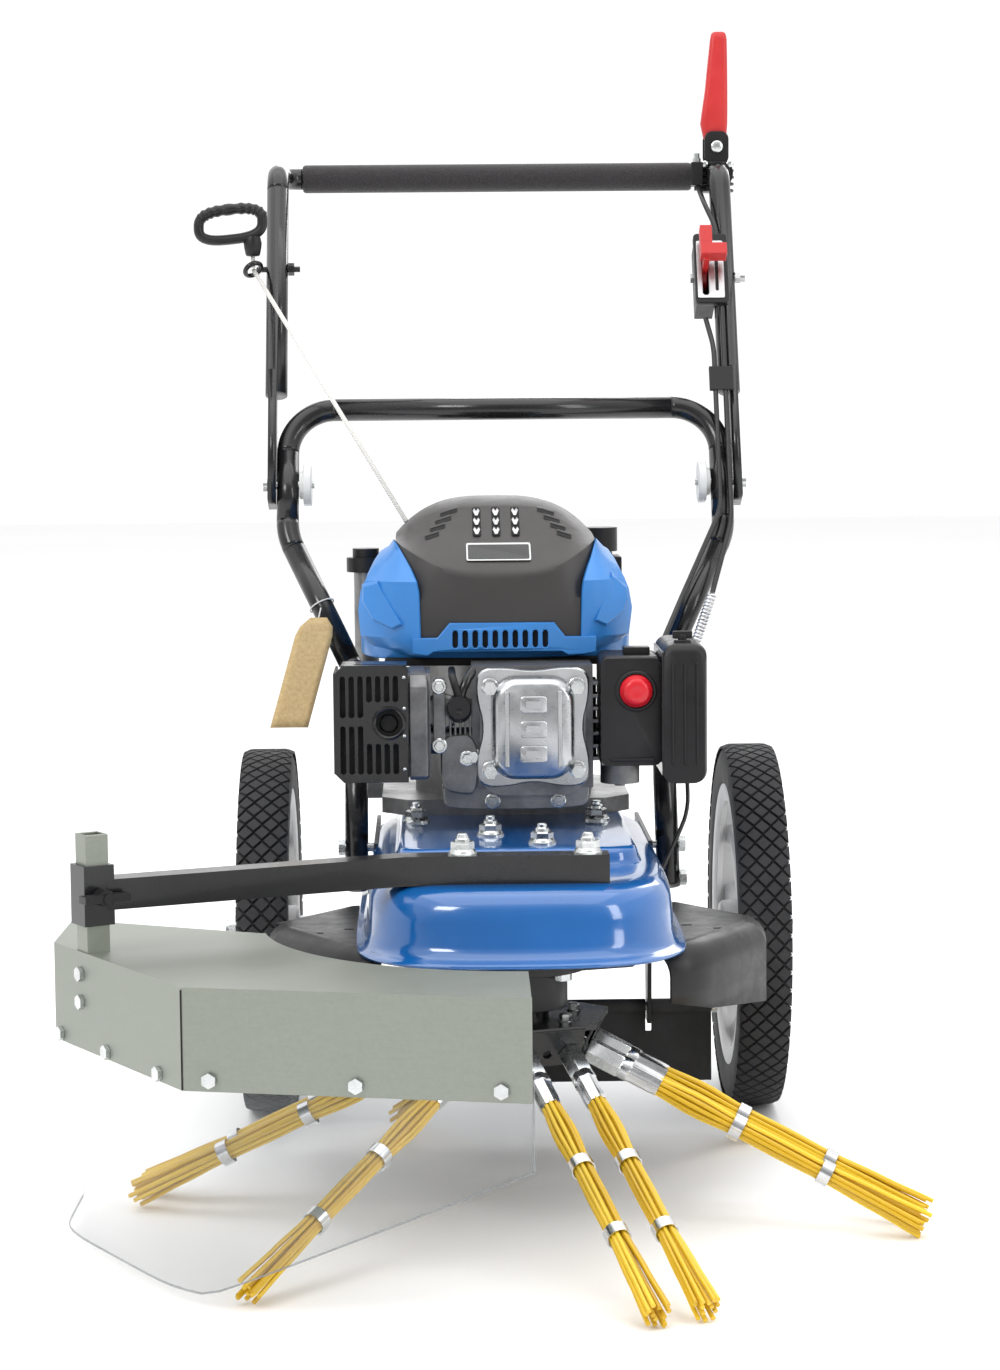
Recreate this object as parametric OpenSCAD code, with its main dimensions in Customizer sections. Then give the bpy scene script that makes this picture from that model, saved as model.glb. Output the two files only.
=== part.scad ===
// Walk-behind weed brush: petrol engine over a pressed deck, belt driven wire
// tuft rotor in front, two large wheels behind and a folding push handle.
// Millimetres, +Z up, the operator stands on the +Y side.

/* [Wheels and axle] */
// Outer radius of a wheel
wheel_r = 177.5; // [140:0.5:200]
// Width of the tyre tread
wheel_w = 48; // [36:1:60]
// Distance between the two wheel centres
track = 470; // [440:1:520]
// Radius of the axle
axle_r = 8; // [6:0.5:10]
// Radial running clearance of every turning fit
run_fit = 0.05; // [0.02:0.01:0.1]

/* [Deck] */
// Height of the deck's bottom lip above the floor
deck_z = 228; // [210:1:250]
// Height of the deck's flat top above the floor
deck_top = 288; // [270:1:300]
// Height of the raised engine platform
platform_z = 303; // [295:1:310]
// Thickness of the pressed deck sheet
sheet_t = 3; // [2:0.5:4]
// Distance from the axle forward to the rotor spindle
spindle_y = -422; // [-460:1:-400]

/* [Rotor] */
// Radius from the spindle to the mounting holes of the tufts
head_r = 58; // [54:1:64]
// Angle of a tuft below the horizontal
tuft_dip = 26.5; // [24:0.5:32]
// Radius of a bundle of wires
tuft_r = 8.5; // [7:0.5:10]
// Turn of the rotor about its spindle at rest
rotor_turn = 18.8; // [0:0.1:59]

/* [Handle] */
// Radius of the handle tubes
tube_r = 11; // [10:0.5:12.5]
// Lean of the handle away from the vertical
lean = 25; // [20:1:30]
// Height of the fold pivot above the floor
pivot_z = 612; // [590:1:640]
// Height of the hand bar above the floor
grip_z = 925; // [880:1:960]

/* [Engine] */
// Crank centre, sideways
crank_x = -5; // [-15:1:15]
// Crank centre, along the machine
crank_y = -20; // [-60:1:0]
// Pulley groove radius on the crank
drive_r = 20; // [18:1:24]
// Pulley groove radius on the spindle
driven_r = 40; // [36:1:42]

/* [Guard] */
// Height of the guard's top sheet
guard_z = 254; // [250:1:262]
// Height of the guard's side flanges
flange_h = 80; // [60:1:90]
// Thickness of the guard sheet
guard_t = 1.5; // [1:0.5:2]
// Side of the square post the guard hangs on
post_s = 20; // [18:1:22]

/* [Hidden] */
$fn = 64;
// Shift that puts the middle of the footprint on the frame's origin
shift_x = 21.8;
shift_y = 239.2;
tl = tan(lean);
deck_in = deck_top - sheet_t;
pivot_y = 47;
foot_z = 237;
head_z = 152;
tip_r = 12;
lower_x = 214;
upper_x = 226;
leaf_x = 229.5;
leaf_t = 8;
grip_y = 265;
bend_y = pivot_y + (grip_z - pivot_z) * tl;
shaft_r = 12.5;
plate_z = 225;
wall_z = 158;
wall_a = [124, -436];
wall_b = [162, -388];
wall_c = [218, -300];
wall_d = [222, -262];
gz = guard_z;
ga = [-3, spindle_y - 325];
gb = [-268, spindle_y - 265];
gc = [-388, spindle_y - 64];
gd = [-385, spindle_y + 45];
ge = [-219, spindle_y - 34];
post_ang = atan2(gb[1] - gc[1], gb[0] - gc[0]);
bc_u = (gb - gc) / norm(gb - gc);
bc_n = [-bc_u[1], bc_u[0]];
post_c = gc + 53 * bc_u + (guard_t + post_s / 2) * bc_n;
arm_z = deck_top;
arm_s = 25;
arm_y = -419.5;
arm_bend_x = -101;
rod_y = -120;
rod_z = 120;
tuft_len = (head_z - tip_r * cos(tuft_dip)) / sin(tuft_dip);
black = [0.13, 0.13, 0.14];
dark = [0.2, 0.2, 0.21];
blue = [0.1, 0.38, 0.76];
steel = [0.72, 0.73, 0.75];
silver = [0.8, 0.81, 0.82];
red = [0.82, 0.08, 0.1];
yellow = [0.93, 0.72, 0.1];

// ---- shared shapes -------------------------------------------------------

module place() translate([shift_x, shift_y, 0]) children();

module at_spindle() translate([0, spindle_y, 0]) children();

module both() {
  children();
  mirror([1, 0, 0]) children();
}

// round bar between two points
module bar(p, q, r) {
  v = q - p;
  translate(p)
    rotate([0, acos(v[2] / norm(v)), atan2(v[1], v[0])])
      cylinder(r = r, h = norm(v));
}

function unit(v) = v / norm(v);
function turn(a, b, c) = acos(unit(b - a) * unit(c - b));
function cut(a, b, c, br) = br * tan(turn(a, b, c) / 2);

// round bar along a list of points with bends of radius br; a thinner core
// carries each joint between a straight and a bend across a hairline gap
module bent_bar(pts, br, r) {
  n = len(pts);
  e = 0.01;
  for (i = [0:n - 2]) {
    u = unit(pts[i + 1] - pts[i]);
    s0 = (i == 0) ? 0 : cut(pts[i - 1], pts[i], pts[i + 1], br[i]) + e;
    s1 = (i == n - 2) ? 0 : cut(pts[i], pts[i + 1], pts[i + 2], br[i + 1]) + e;
    bar(pts[i] + s0 * u, pts[i + 1] - s1 * u, r);
    if (i > 0)
      bar(pts[i] + (s0 - 0.1 * br[i]) * u, pts[i] + (s0 + 0.1 * br[i]) * u, 0.6 * r);
    if (i < n - 2)
      bar(pts[i + 1] - (s1 + 0.1 * br[i + 1]) * u,
          pts[i + 1] - (s1 - 0.1 * br[i + 1]) * u, 0.6 * r);
  }
  for (i = [1:n - 2]) {
    u = unit(pts[i] - pts[i - 1]);
    v = unit(pts[i + 1] - pts[i]);
    th = turn(pts[i - 1], pts[i], pts[i + 1]);
    m = unit(v - (u * v) * u);
    w = cross(u, m);
    c = pts[i] - cut(pts[i - 1], pts[i], pts[i + 1], br[i]) * u + br[i] * m;
    multmatrix([[-m[0], u[0], w[0], c[0]],
                [-m[1], u[1], w[1], c[1]],
                [-m[2], u[2], w[2], c[2]],
                [0, 0, 0, 1]])
      rotate_extrude(angle = th)
        translate([br[i], 0])
          circle(r = r);
  }
}

// ring about Z
module ring(ro, ri, h) {
  difference() {
    cylinder(r = ro, h = h);
    translate([0, 0, -1]) cylinder(r = ri, h = h + 2);
  }
}

// hexagon bolt head, flats across af, axis +Z
module hex(af, h) cylinder(r = af / 2 / cos(30), h = h, $fn = 6);

function lean_y(z) = pivot_y + (z - pivot_z) * tl;
function lp(x, z) = [x, lean_y(z), z];

// ---- deck ----------------------------------------------------------------

function nose(w, f, b) = [
  [-w, b], [-w, f + 95], [-w + 13, f + 50], [-w + 44, f + 15],
  [-w * 0.36, f + 2], [0, f], [w * 0.36, f + 2], [w - 44, f + 15],
  [w - 13, f + 50], [w, f + 95], [w, b]
];

module deck() place() color(blue) difference() {
  union() {
    translate([0, 0, deck_z])
      linear_extrude(sheet_t)
        polygon(nose(143, -498, 88));
    translate([0, 0, deck_z])
      linear_extrude(deck_top - deck_z)
        polygon(nose(133, -480, 80));
    translate([-106, -330, deck_in])
      cube([212, 405, platform_z - deck_in]);
  }
  translate([0, 0, deck_z - 1])
    linear_extrude(deck_in - deck_z + 1)
      polygon(nose(130, -477, 77));
  translate([-103, -327, deck_in - 1])
    cube([206, 399, platform_z - deck_in - 2]);
  translate([crank_x, crank_y, platform_z - 10]) cylinder(r = 32, h = 20);
  for (x = [-50, 56])
    translate([x, arm_y, deck_in - 2]) cylinder(r = 5, h = 10);
  for (q = [[-23, -240], [22, -293], [-90, -146], [78, -146]])
    translate([q[0], q[1], platform_z - 5]) cylinder(r = 5, h = 10);
  for (z = [244, 274])
    translate([-160, lean_y(z), z]) rotate([0, 90, 0]) cylinder(r = 4, h = 320);
}

module debris_plate() place() color(black) difference() {
  union() {
    translate([0, 0, plate_z])
      linear_extrude(sheet_t)
        polygon([[-132, -165], [-150, -168], [-222, -262], [-218, -300],
                 [-162, -388], [-124, -436], [-90, -477], [-48, -490],
                 [48, -490], [90, -477], [124, -436], [162, -388],
                 [218, -300], [222, -262], [150, -168], [132, -165]]);
    both() shield_wall();
  }
  at_spindle() translate([0, 0, plate_z - 1]) cylinder(r = 30, h = 5);
  at_spindle()
    for (a = [45:90:315])
      rotate(a) translate([47, 0, plate_z - 1]) cylinder(r = 4, h = 5);
  both()
    for (q = [[150, -294, 9, 5], [176, -310, 7, 5], [146, -368, 9, 4]])
      translate([q[0], q[1], plate_z - 1])
        linear_extrude(5) square([q[2], q[3]], center = true);
}

// outline points of the hanging wall under one wing, moved inwards by d
function wall_pts(d) = [
  end_in(wall_a, wall_b, wall_a, -d), mid_in(wall_a, wall_b, wall_c, -d),
  mid_in(wall_b, wall_c, wall_d, -d), end_in(wall_c, wall_d, wall_d, -d)
];

// hanging wall of the debris plate, half a millimetre in from its edge
module shield_wall() translate([0, 0, wall_z])
  linear_extrude(plate_z + 1 - wall_z)
    polygon(concat(wall_pts(0.5), back(wall_pts(0.5 + sheet_t))));

module axle_brackets() place() color(black) both() difference() {
  translate([126, 0, 0])
    rotate([90, 0, 90])
      linear_extrude(4)
        polygon([[-158, 229], [-158, 284], [40, 284], [40, 190], [22, 158],
                 [-22, 158], [-60, 190], [-104, 170], [-106, 106],
                 [-134, 106], [-140, 190]]);
  translate([120, 0, wheel_r]) rotate([0, 90, 0]) cylinder(r = axle_r, h = 20);
  translate([120, rod_y, rod_z]) rotate([0, 90, 0]) cylinder(r = 4, h = 20);
  for (z = [244, 274])
    translate([110, lean_y(z), z]) rotate([0, 90, 0]) cylinder(r = 4, h = 30);
}

module axle() place() color(steel) {
  translate([-276, 0, wheel_r]) rotate([0, 90, 0]) cylinder(r = axle_r, h = 552);
  both()
    translate([130.3, 0, wheel_r]) rotate([0, 90, 0]) ring(13, axle_r, 75.7);
}

module rear_flap() place() color(dark) translate([0, rod_y, rod_z]) difference() {
  union() {
    translate([-125, -2, -72]) cube([250, 4, 72]);
    both() translate([130.6, -2, -72]) cube([57, 4, 72]);
    translate([-187, -2, -72]) cube([374, 4, 48]);
    translate([-125, 0, 0]) rotate([0, 90, 0]) cylinder(r = 7, h = 250);
    both() translate([130.6, 0, 0]) rotate([0, 90, 0]) cylinder(r = 7, h = 57);
  }
  translate([-200, 0, 0]) rotate([0, 90, 0]) cylinder(r = 4 + run_fit, h = 400);
}

// every standard bolt, nut and pin that stays with the chassis
module fasteners() place() color(steel) {
  for (x = [-50, 56])
    translate([x, arm_y, 0]) {
      translate([0, 0, deck_in - 8]) hex(16, 8);
      translate([0, 0, deck_in]) cylinder(r = 5, h = 44);
      translate([0, 0, arm_z + arm_s]) cylinder(r = 10, h = 2);
      translate([0, 0, arm_z + arm_s + 2]) hex(17, 9);
    }
  for (q = [[-23, -240], [22, -293], [-90, -146], [78, -146]])
    translate([q[0], q[1], platform_z - 3]) {
      cylinder(r = 5, h = 5);
      translate([0, 0, 3]) cylinder(r = 10, h = 2);
      translate([0, 0, 5]) hex(17, 8);
    }
  both()
    for (z = [244, 274])
      translate([0, lean_y(z), z]) rotate([0, 90, 0]) {
        translate([0, 0, 122]) cylinder(r = 4, h = 41);
        translate([0, 0, 158.2]) hex(13, 6);
        translate([0, 0, 119]) hex(13, 7);
      }
  translate([-193, rod_y, rod_z]) rotate([0, 90, 0]) cylinder(r = 4, h = 386);
  both()
    translate([188, rod_y, rod_z]) rotate([0, 90, 0]) cylinder(r = 7, h = 5);
  both() translate([0, 0, wheel_r]) rotate([0, 90, 0]) {
    translate([0, 0, 264]) ring(16, axle_r, 2);
    translate([0, 0, 266])
      difference() {
        union() {
          hex(24, 10);
          cylinder(r = 10.5, h = 13);
        }
        translate([0, 0, -1]) cylinder(r = axle_r, h = 11);
      }
  }
  both() translate([0, pivot_y, pivot_z]) rotate([0, 90, 0]) {
    translate([0, 0, 188]) cylinder(r = 4, h = 47);
    translate([0, 0, 234.2]) cylinder(r = 7, h = 4);
  }
  at_spindle()
    for (a = [45:90:315])
      rotate(a) translate([47, 0, 211]) {
        hex(13, 6);
        cylinder(r = 4, h = 23);
        translate([0, 0, 17]) hex(13, 6);
      }
  translate([22, -293, 256]) hex(16, 3);
  translate([22, -293, 256]) cylinder(r = 6, h = platform_z - 3 - 256);
  for (q = [[-22, 436], [57, 436], [-22, 360], [57, 360]])
    translate([q[0], -212, q[1]]) rotate([90, 0, 0]) {
      cylinder(r = 3, h = 28);
      translate([0, 0, 24.2]) hex(11, 6);
    }
}

// ---- wheels --------------------------------------------------------------

// tyre section, revolved about Z
module tyre_body() rotate_extrude($fn = 128) polygon([
  [138, -22], [146, -24], [164, -24], [172, -22.5], [176.6, -18],
  [wheel_r, -12], [wheel_r, 12], [176.6, 18], [172, 22.5], [164, 24],
  [146, 24], [138, 22]
]);

module rim_body() difference() {
  union() {
    rotate_extrude($fn = 128) polygon([
      [122, -20], [130, -21], [138, -22], [138, 22], [130, 21], [122, 20],
      [126, 16], [126, -16]
    ]);
    for (a = [0:72:288])
      rotate(a) translate([20, -9, -6]) cube([110, 18, 12]);
    for (a = [36:72:324])
      rotate(a) translate([20, -5, -4]) cube([110, 10, 8]);
    translate([0, 0, -28]) cylinder(r = 24, h = 56);
  }
  translate([0, 0, -40]) cylinder(r = axle_r + run_fit, h = 80);
}

module at_wheel(side) translate([side * track / 2, 0, wheel_r])
  rotate([0, 90, 0]) children();

module tyre_left() place() color(dark) at_wheel(-1) tyre_body();
module rim_left() place() color(silver) at_wheel(-1) rim_body();
module tyre_right() place() color(dark) at_wheel(1) tyre_body();
module rim_right() place() color(silver) at_wheel(1) rim_body();

// ---- handle --------------------------------------------------------------

module lower_handle() place() color(black) difference() {
  bent_bar([lp(147, foot_z), lp(147, 430), lp(lower_x, 563),
            lp(lower_x, 685), lp(-lower_x, 685), lp(-lower_x, 563),
            lp(-147, 430), lp(-147, foot_z)],
           [0, 70, 70, 47, 47, 70, 70, 0], tube_r);
  for (z = [244, 274])
    translate([-170, lean_y(z), z]) rotate([0, 90, 0]) cylinder(r = 4, h = 340);
  both()
    translate([195, pivot_y, pivot_z]) rotate([0, 90, 0]) cylinder(r = 4, h = 36);
}

module upper_handle() place() color(black) difference() {
  union() {
    bent_bar([lp(upper_x, 700), lp(upper_x, grip_z), [upper_x, grip_y, grip_z],
              [-upper_x, grip_y, grip_z], lp(-upper_x, grip_z),
              lp(-upper_x, 700)],
             [0, 30, 22, 22, 30, 0], tube_r);
    both()
      translate([leaf_x - leaf_t / 2, pivot_y, pivot_z])
        rotate([-lean, 0, 0])
          translate([0, -14, -20]) cube([leaf_t, 28, 140]);
  }
  both()
    translate([220, pivot_y, pivot_z]) rotate([0, 90, 0])
      cylinder(r = 4 + run_fit, h = 20);
  translate([205, lean_y(815), 815]) rotate([0, 90, 0]) cylinder(r = 3, h = 45);
  translate([-250, lean_y(827), 827]) rotate([0, 90, 0]) cylinder(r = 3, h = 45);
}

module foam_grip() place() color(dark)
  translate([-203, grip_y, grip_z]) rotate([0, 90, 0])
    ring(14.5, tube_r, 406);

module knob_body() difference() {
  union() {
    cylinder(r = 21, h = 8, $fn = 12);
    translate([0, 0, 4]) cylinder(r = 14, h = 8);
  }
  translate([0, 0, -1]) cylinder(r = 4 + run_fit, h = 20);
}

module knob_left() place() color(silver)
  translate([-190.5, pivot_y, pivot_z]) rotate([0, -90, 0]) knob_body();

module knob_right() place() color(silver)
  translate([190.5, pivot_y, pivot_z]) rotate([0, 90, 0]) knob_body();

module lever_bracket() place() color(black) difference() {
  union() {
    translate([upper_x, 240, grip_z]) rotate([90, 0, 0]) cylinder(r = 17, h = 24);
    translate([upper_x - 11, 216, 936]) cube([22, 4, 26]);
    translate([upper_x - 11, 236, 936]) cube([22, 4, 26]);
    translate([upper_x, 243, 952]) rotate([90, 0, 0]) cylinder(r = 4, h = 30);
    translate([upper_x - 22, 220, 908]) cube([12, 12, 14]);
  }
  translate([upper_x, 250, grip_z]) rotate([90, 0, 0])
    cylinder(r = tube_r, h = 44);
}

module clutch_lever() place() color(red) translate([upper_x, 235, 952])
  rotate([90, 0, 0]) difference() {
    union() {
      cylinder(r = 9, h = 14);
      linear_extrude(14)
        polygon([[-8, -2], [8, -2], [12, 10], [12, 118], [-5, 118],
                 [-17, 24], [-14, 10]]);
    }
    translate([0, 0, -1]) cylinder(r = 4 + run_fit, h = 16);
  }

// frame of the throttle: origin on the tube, leaning with it
module at_throttle() translate([0, lean_y(815), 815])
  rotate([-lean, 0, 0]) children();

module throttle_box() place() color(black) at_throttle() difference() {
  translate([196, -20, -37]) cube([18.5, 40, 74]);
  translate([202, -21, -30]) cube([6.5, 38, 60]);
  translate([190, 0, 0]) rotate([0, 90, 0]) cylinder(r = 3, h = 30);
}

module throttle_plate() place() color(steel) at_throttle() {
  difference() {
    translate([197, -21.5, -32]) cube([17, 1.5, 64]);
    translate([202, -23, -30]) cube([6.5, 5, 60]);
  }
  translate([192, 0, 0]) rotate([0, 90, 0]) cylinder(r = 3, h = 52);
  translate([192, 0, 0]) rotate([0, 90, 0]) hex(10, 4);
  translate([237.2, 0, 0]) rotate([0, 90, 0]) hex(11, 5);
  translate([241, 0, 0]) rotate([0, 90, 0]) cylinder(r = 5, h = 6);
}

module throttle_lever() place() color(red) at_throttle() difference() {
  union() {
    translate([202.5, 0, 0]) rotate([0, 90, 0]) cylinder(r = 14, h = 5.5);
    translate([202.5, -46, -3]) cube([5.5, 40, 10]);
    translate([199, -54, 0]) cube([26, 18, 12]);
    translate([199, -50, 0]) cube([12, 14, 34]);
  }
  translate([190, 0, 0]) rotate([0, 90, 0]) cylinder(r = 3 + run_fit, h = 30);
}

rope_p = [-250, 138, 827];
rope_q = [-97, -64, 580];
rope_d = (rope_p - rope_q) / norm(rope_p - rope_q);

module rope_guide() place() color(steel) {
  difference() {
    union() {
      bar([-203, lean_y(827), 827], [-243, lean_y(827), 827], 3);
      bar([-243, lean_y(827), 827], rope_p + [4.5, 6.5, 0], 2.5);
      translate(rope_p)
        rotate([0, acos(rope_d[2]), atan2(rope_d[1], rope_d[0])])
          rotate_extrude() translate([8.5, 0]) circle(r = 2.5);
    }
  }
  translate([-214.8, lean_y(827), 827]) rotate([0, 90, 0]) hex(11, 6);
}

module starter_rope() place() color(silver)
  bar(rope_q, rope_p - 1 * rope_d, 2.2);

module rope_tail() place() color(silver)
  translate([rope_p[0], rope_p[1], 828.5]) cylinder(r = 2.2, h = 11.5);

module starter_grip() place() color(black) translate([0, rope_p[1], 0]) {
  bent_bar([[-266, 0, 856], [-303, 0, 856], [-303, 0, 888], [-241, 0, 888],
            [-241, 0, 856], [-270, 0, 856]],
           [0, 11, 11, 11, 11, 0], 6);
  translate([rope_p[0], 0, 840]) cylinder(r = 7, h = 14);
}

function cab(x, z) = [x, lean_y(z) - 17, z];

module cables_upper() place() color(black) {
  bent_bar([[206, 214, 912], [208, 165, 892], cab(218.5, 866), cab(221, 800),
            cab(221, 616)],
           [0, 15, 15, 20, 0], 2.6);
  bent_bar([[205, lean_y(770) - 8, 773], cab(211, 745), cab(211, 616)],
           [0, 15, 0], 2.6);
  translate([0, lean_y(706), 706]) rotate([-lean, 0, 0])
    translate([205, -19, -13]) cube([24, 4.5, 26]);
}

module cables_lower() place() color(black) {
  bent_bar([cab(221, 609), cab(221, 575), cab(199, 506)], [0, 30, 0], 2.6);
  bent_bar([cab(179, 453), [166, -100, 372], [164, -150, 310], [137, -186, 262]],
           [0, 30, 20, 0], 2);
  bent_bar([cab(211, 609), cab(211, 586), cab(168, 500), [140, -72, 448],
            [108, -96, 415], [100, -121.5, 394]],
           [0, 14, 20, 12, 12, 0], 2.6);
}

module clutch_spring() place() color(steel) {
  a = cab(199, 505);
  b = cab(179, 454);
  for (i = [0:11])
    translate(a + (b - a) * (i + 0.5) / 12)
      rotate([0, acos((a - b)[2] / norm(a - b)), atan2((a - b)[1], (a - b)[0])])
        rotate_extrude($fn = 24) translate([4.5, 0]) circle(r = 1.2, $fn = 12);
}

// ---- engine --------------------------------------------------------------

module crankcase() place() color(silver) difference() {
  union() {
    translate([0, 0, platform_z]) linear_extrude(15)
      polygon([[-123, -80], [-98, -106], [88, -106], [113, -80], [113, 50],
               [88, 74], [-98, 74], [-123, 50]]);
    translate([-152, 24, platform_z]) cube([40, 28, 15]);
    translate([-138, 38, platform_z + 5]) cylinder(r = 12, h = 218);
    translate([crank_x, crank_y, platform_z + 10]) cylinder(r = 86, h = 132);
    translate([-36, -125, 345]) cube([106, 60, 104]);
  }
  translate([crank_x, crank_y, platform_z - 1])
    cylinder(r = shaft_r + run_fit, h = 150);
  for (q = [[-90, -146], [78, -146]])
    translate([q[0], q[1], platform_z - 1]) cylinder(r = 12, h = 20);
}

module cylinder_block() {
  translate([17, -125, 397]) rotate([90, 0, 0]) cylinder(r = 42, h = 70);
  for (i = [0:7])
    translate([-38, -133 - 8 * i, 342]) cube([110, 4, 112]);
  translate([-38, -212, 342]) cube([110, 22, 112]);
}

module cylinder_fins() place() color(steel) cylinder_block();

module valve_cover() place() color(silver) translate([17, -212, 398.5])
  rotate([90, 0, 0]) difference() {
    union() {
      linear_extrude(24)
        polygon([[-50, -38], [-34, -53], [34, -53], [50, -38], [50, 38],
                 [34, 53], [-34, 53], [-50, 38]]);
      translate([-35, -44, 0]) cube([70, 88, 28]);
    }
    for (q = [[-39, 37.5], [40, 37.5], [-39, -38.5], [40, -38.5]])
      translate([q[0], q[1], -1]) cylinder(r = 3, h = 40);
    for (q = [[-39, 37.5], [40, 37.5], [-39, -38.5], [40, -38.5]])
      translate([q[0], q[1], 24]) cylinder(r = 9, h = 10);
  }

module spark_plug() place() color(black) {
  translate([-50, -200, 418]) rotate([90, 0, 0]) cylinder(r = 10, h = 34);
  bar([-50, -206, 418], [-38, -206, 418], 6);
  bent_bar([[-50, -222, 426], [-56, -222, 446], [-56, -160, 446]],
           [0, 10, 0], 3.5);
}

function shroud(d) = [
  [-143 + d, -95], [-112 + d * 0.6, -160 + d], [85 - d * 0.6, -160 + d],
  [116 - d, -95], [116 - d, -40], [70 - d * 0.6, 88 - d],
  [-72 + d * 0.6, 88 - d], [-143 + d, -40]
];

module blue_shroud() place() color(blue) difference() {
  union() {
    translate([0, 0, 455]) linear_extrude(85) polygon(shroud(0));
    // shoulders beside the top cover
    translate([-136, -90, 530]) cube([26, 50, 22]);
    translate([85, -90, 530]) cube([24, 50, 22]);
  }
  translate([0, 0, 454]) linear_extrude(83) polygon(shroud(3));
  translate([crank_x, crank_y, 530]) cylinder(r = 88, h = 30);
  for (i = [0:9])
    translate([-53 + 9 * i, -170, 461]) cube([5, 20, 18]);
}

module hood_slab(z, g, h) translate([0, 0, z]) linear_extrude(h)
  polygon([[-107 + g, -90], [-86 + g * 0.7, -158 + g * 1.1],
           [60 - g * 0.7, -158 + g * 1.1], [83 - g, -90], [83 - g, -20],
           [52 - g * 0.7, 84 - g], [-76 + g * 0.7, 84 - g], [-107 + g, -20]]);

module top_cover() place() color(black) {
  difference() {
    hull() {
      hood_slab(540, 0, 16);
      hood_slab(600, 36, 3);
    }
    hull() {
      hood_slab(539, 3, 15);
      hood_slab(596, 38, 1);
    }
    for (i = [-1:1])
      translate([-13 + 19 * i, -124, 566]) cube([9, 30, 40]);
  }
  translate([-83, -163.5, 486]) cube([149, 3.5, 70]);
  translate([-83, -162, 540]) cube([149, 8, 14]);
}

module flywheel() place() color(steel)
  translate([crank_x, crank_y, 462]) difference() {
    union() {
      cylinder(r = 90, h = 16);
      for (a = [0:24:336])
        rotate(a) translate([55, -1.5, 14]) cube([32, 3, 22]);
      cylinder(r = 30, h = 30);
    }
    translate([0, 0, -1]) cylinder(r = shaft_r, h = 40);
  }

// crankshaft with its keyed belt pulley
module crankshaft() place() color(steel) translate([crank_x, crank_y, 0]) {
  translate([0, 0, 236]) cylinder(r = shaft_r, h = 284);
  difference() {
    union() {
      translate([0, 0, 240]) cylinder(r = 26, h = 4.5);
      translate([0, 0, 244]) cylinder(r = drive_r, h = 10);
      translate([0, 0, 253.5]) cylinder(r = 26, h = 4.5);
      translate([0, 0, 258]) cylinder(r = 18, h = 12);
    }
    translate([0, 0, 230]) cylinder(r = shaft_r, h = 60);
  }
}

module oil_cap() place() color(black) translate([-138, 38, 526.5]) {
  cylinder(r = 19, h = 14, $fn = 12);
  translate([0, 0, 13]) cylinder(r = 13, h = 10);
}

module fuel_tank() place() color(black) difference() {
  union() {
    translate([-66, 92, 452]) cube([184, 50, 84]);
    translate([97, 117, 530]) cylinder(r = 13, h = 10);
    translate([-60, 70, platform_z + 15]) cube([20, 4, 150]);
    translate([-60, 74, 440]) cube([20, 40, 14]);
    translate([50, 70, platform_z + 15]) cube([20, 4, 150]);
    translate([50, 74, 440]) cube([20, 40, 14]);
  }
  translate([-63, 95, 455]) cube([178, 44, 78]);
  translate([97, 117, 500]) cylinder(r = 10, h = 60);
}

module fuel_cap() place() color(black) translate([97, 117, 540.5]) {
  cylinder(r = 18, h = 24, $fn = 12);
  translate([0, 0, -8]) cylinder(r = 9.6, h = 9);
}

module muffler() place() color(steel) difference() {
  union() {
    translate([-155, -236, 356]) cube([79, 70, 94]);
    bar([-77, -200, 385], [-38, -200, 385], 12);
    translate([-113.5, -236, 406]) rotate([90, 0, 0]) cylinder(r = 9, h = 7);
  }
  translate([-153, -234, 358]) cube([75, 66, 90]);
  translate([-113.5, -230, 406]) rotate([90, 0, 0]) cylinder(r = 7, h = 20);
}

module muffler_guard() place() color(black) difference() {
  union() {
    translate([-162, -249, 351]) cube([66, 3, 108]);
    translate([-162, -249, 351]) cube([3, 80, 108]);
    for (z = [366, 440])
      translate([-104, -247, z]) cube([6, 11, 6]);
  }
  translate([-113.5, -240, 406]) rotate([90, 0, 0]) cylinder(r = 13, h = 20);
  for (i = [0:6])
    translate([-155, -260, 362 + 13.5 * i]) cube([i == 3 ? 22 : 50, 20, 5]);
  for (i = [0:6])
    translate([-170, -236, 362 + 13.5 * i]) cube([20, 56, 5]);
}

module filter_base() place() color(black) difference() {
  translate([78, -160, 364]) rotate([90, 0, 0]) linear_extrude(75)
    polygon([[0, 8], [8, 0], [55.5, 0], [55.5, 99], [8, 99], [0, 91]]);
  translate([110, -222, 432]) rotate([90, 0, 0]) cylinder(r = 15.6, h = 20);
}

module filter_cover() place() color(black)
  translate([133.5, -140, 349]) rotate([90, 0, 0]) linear_extrude(108)
    polygon([[0, 6], [6, 0], [32, 0], [40, 10], [40, 114], [32, 126],
             [6, 126], [0, 118]]);

module primer_bulb() place() color(red) translate([110, -229, 432])
  rotate([90, 0, 0]) {
    cylinder(r = 15, h = 12);
    translate([0, 0, 11]) cylinder(r = 12, h = 5);
  }

module carburettor() place() color(silver) {
  translate([98, -184, 343]) cylinder(r = 18, h = 18);
  translate([98, -184, 340]) cylinder(r = 5, h = 5);
  translate([80, -204, 361]) cube([36, 79, 3]);
  translate([80, -158, 361]) cube([36, 33, 44]);
  bar([82, -141, 385], [72.2, -141, 385], 12);
}

// ---- belt drive ----------------------------------------------------------

belt_a = [crank_x, crank_y];
belt_b = [0, spindle_y];
belt_l = norm(belt_b - belt_a);
belt_t = atan2(belt_b[1] - belt_a[1], belt_b[0] - belt_a[0]);
belt_p = asin((driven_r - drive_r) / belt_l);
belt_g = 0.4;
belt_h = 8;

module belt_arc(r, a) rotate_extrude(start = a[0], angle = a[1] - a[0])
  translate([r + belt_g, 0]) square([7, belt_h]);

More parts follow.
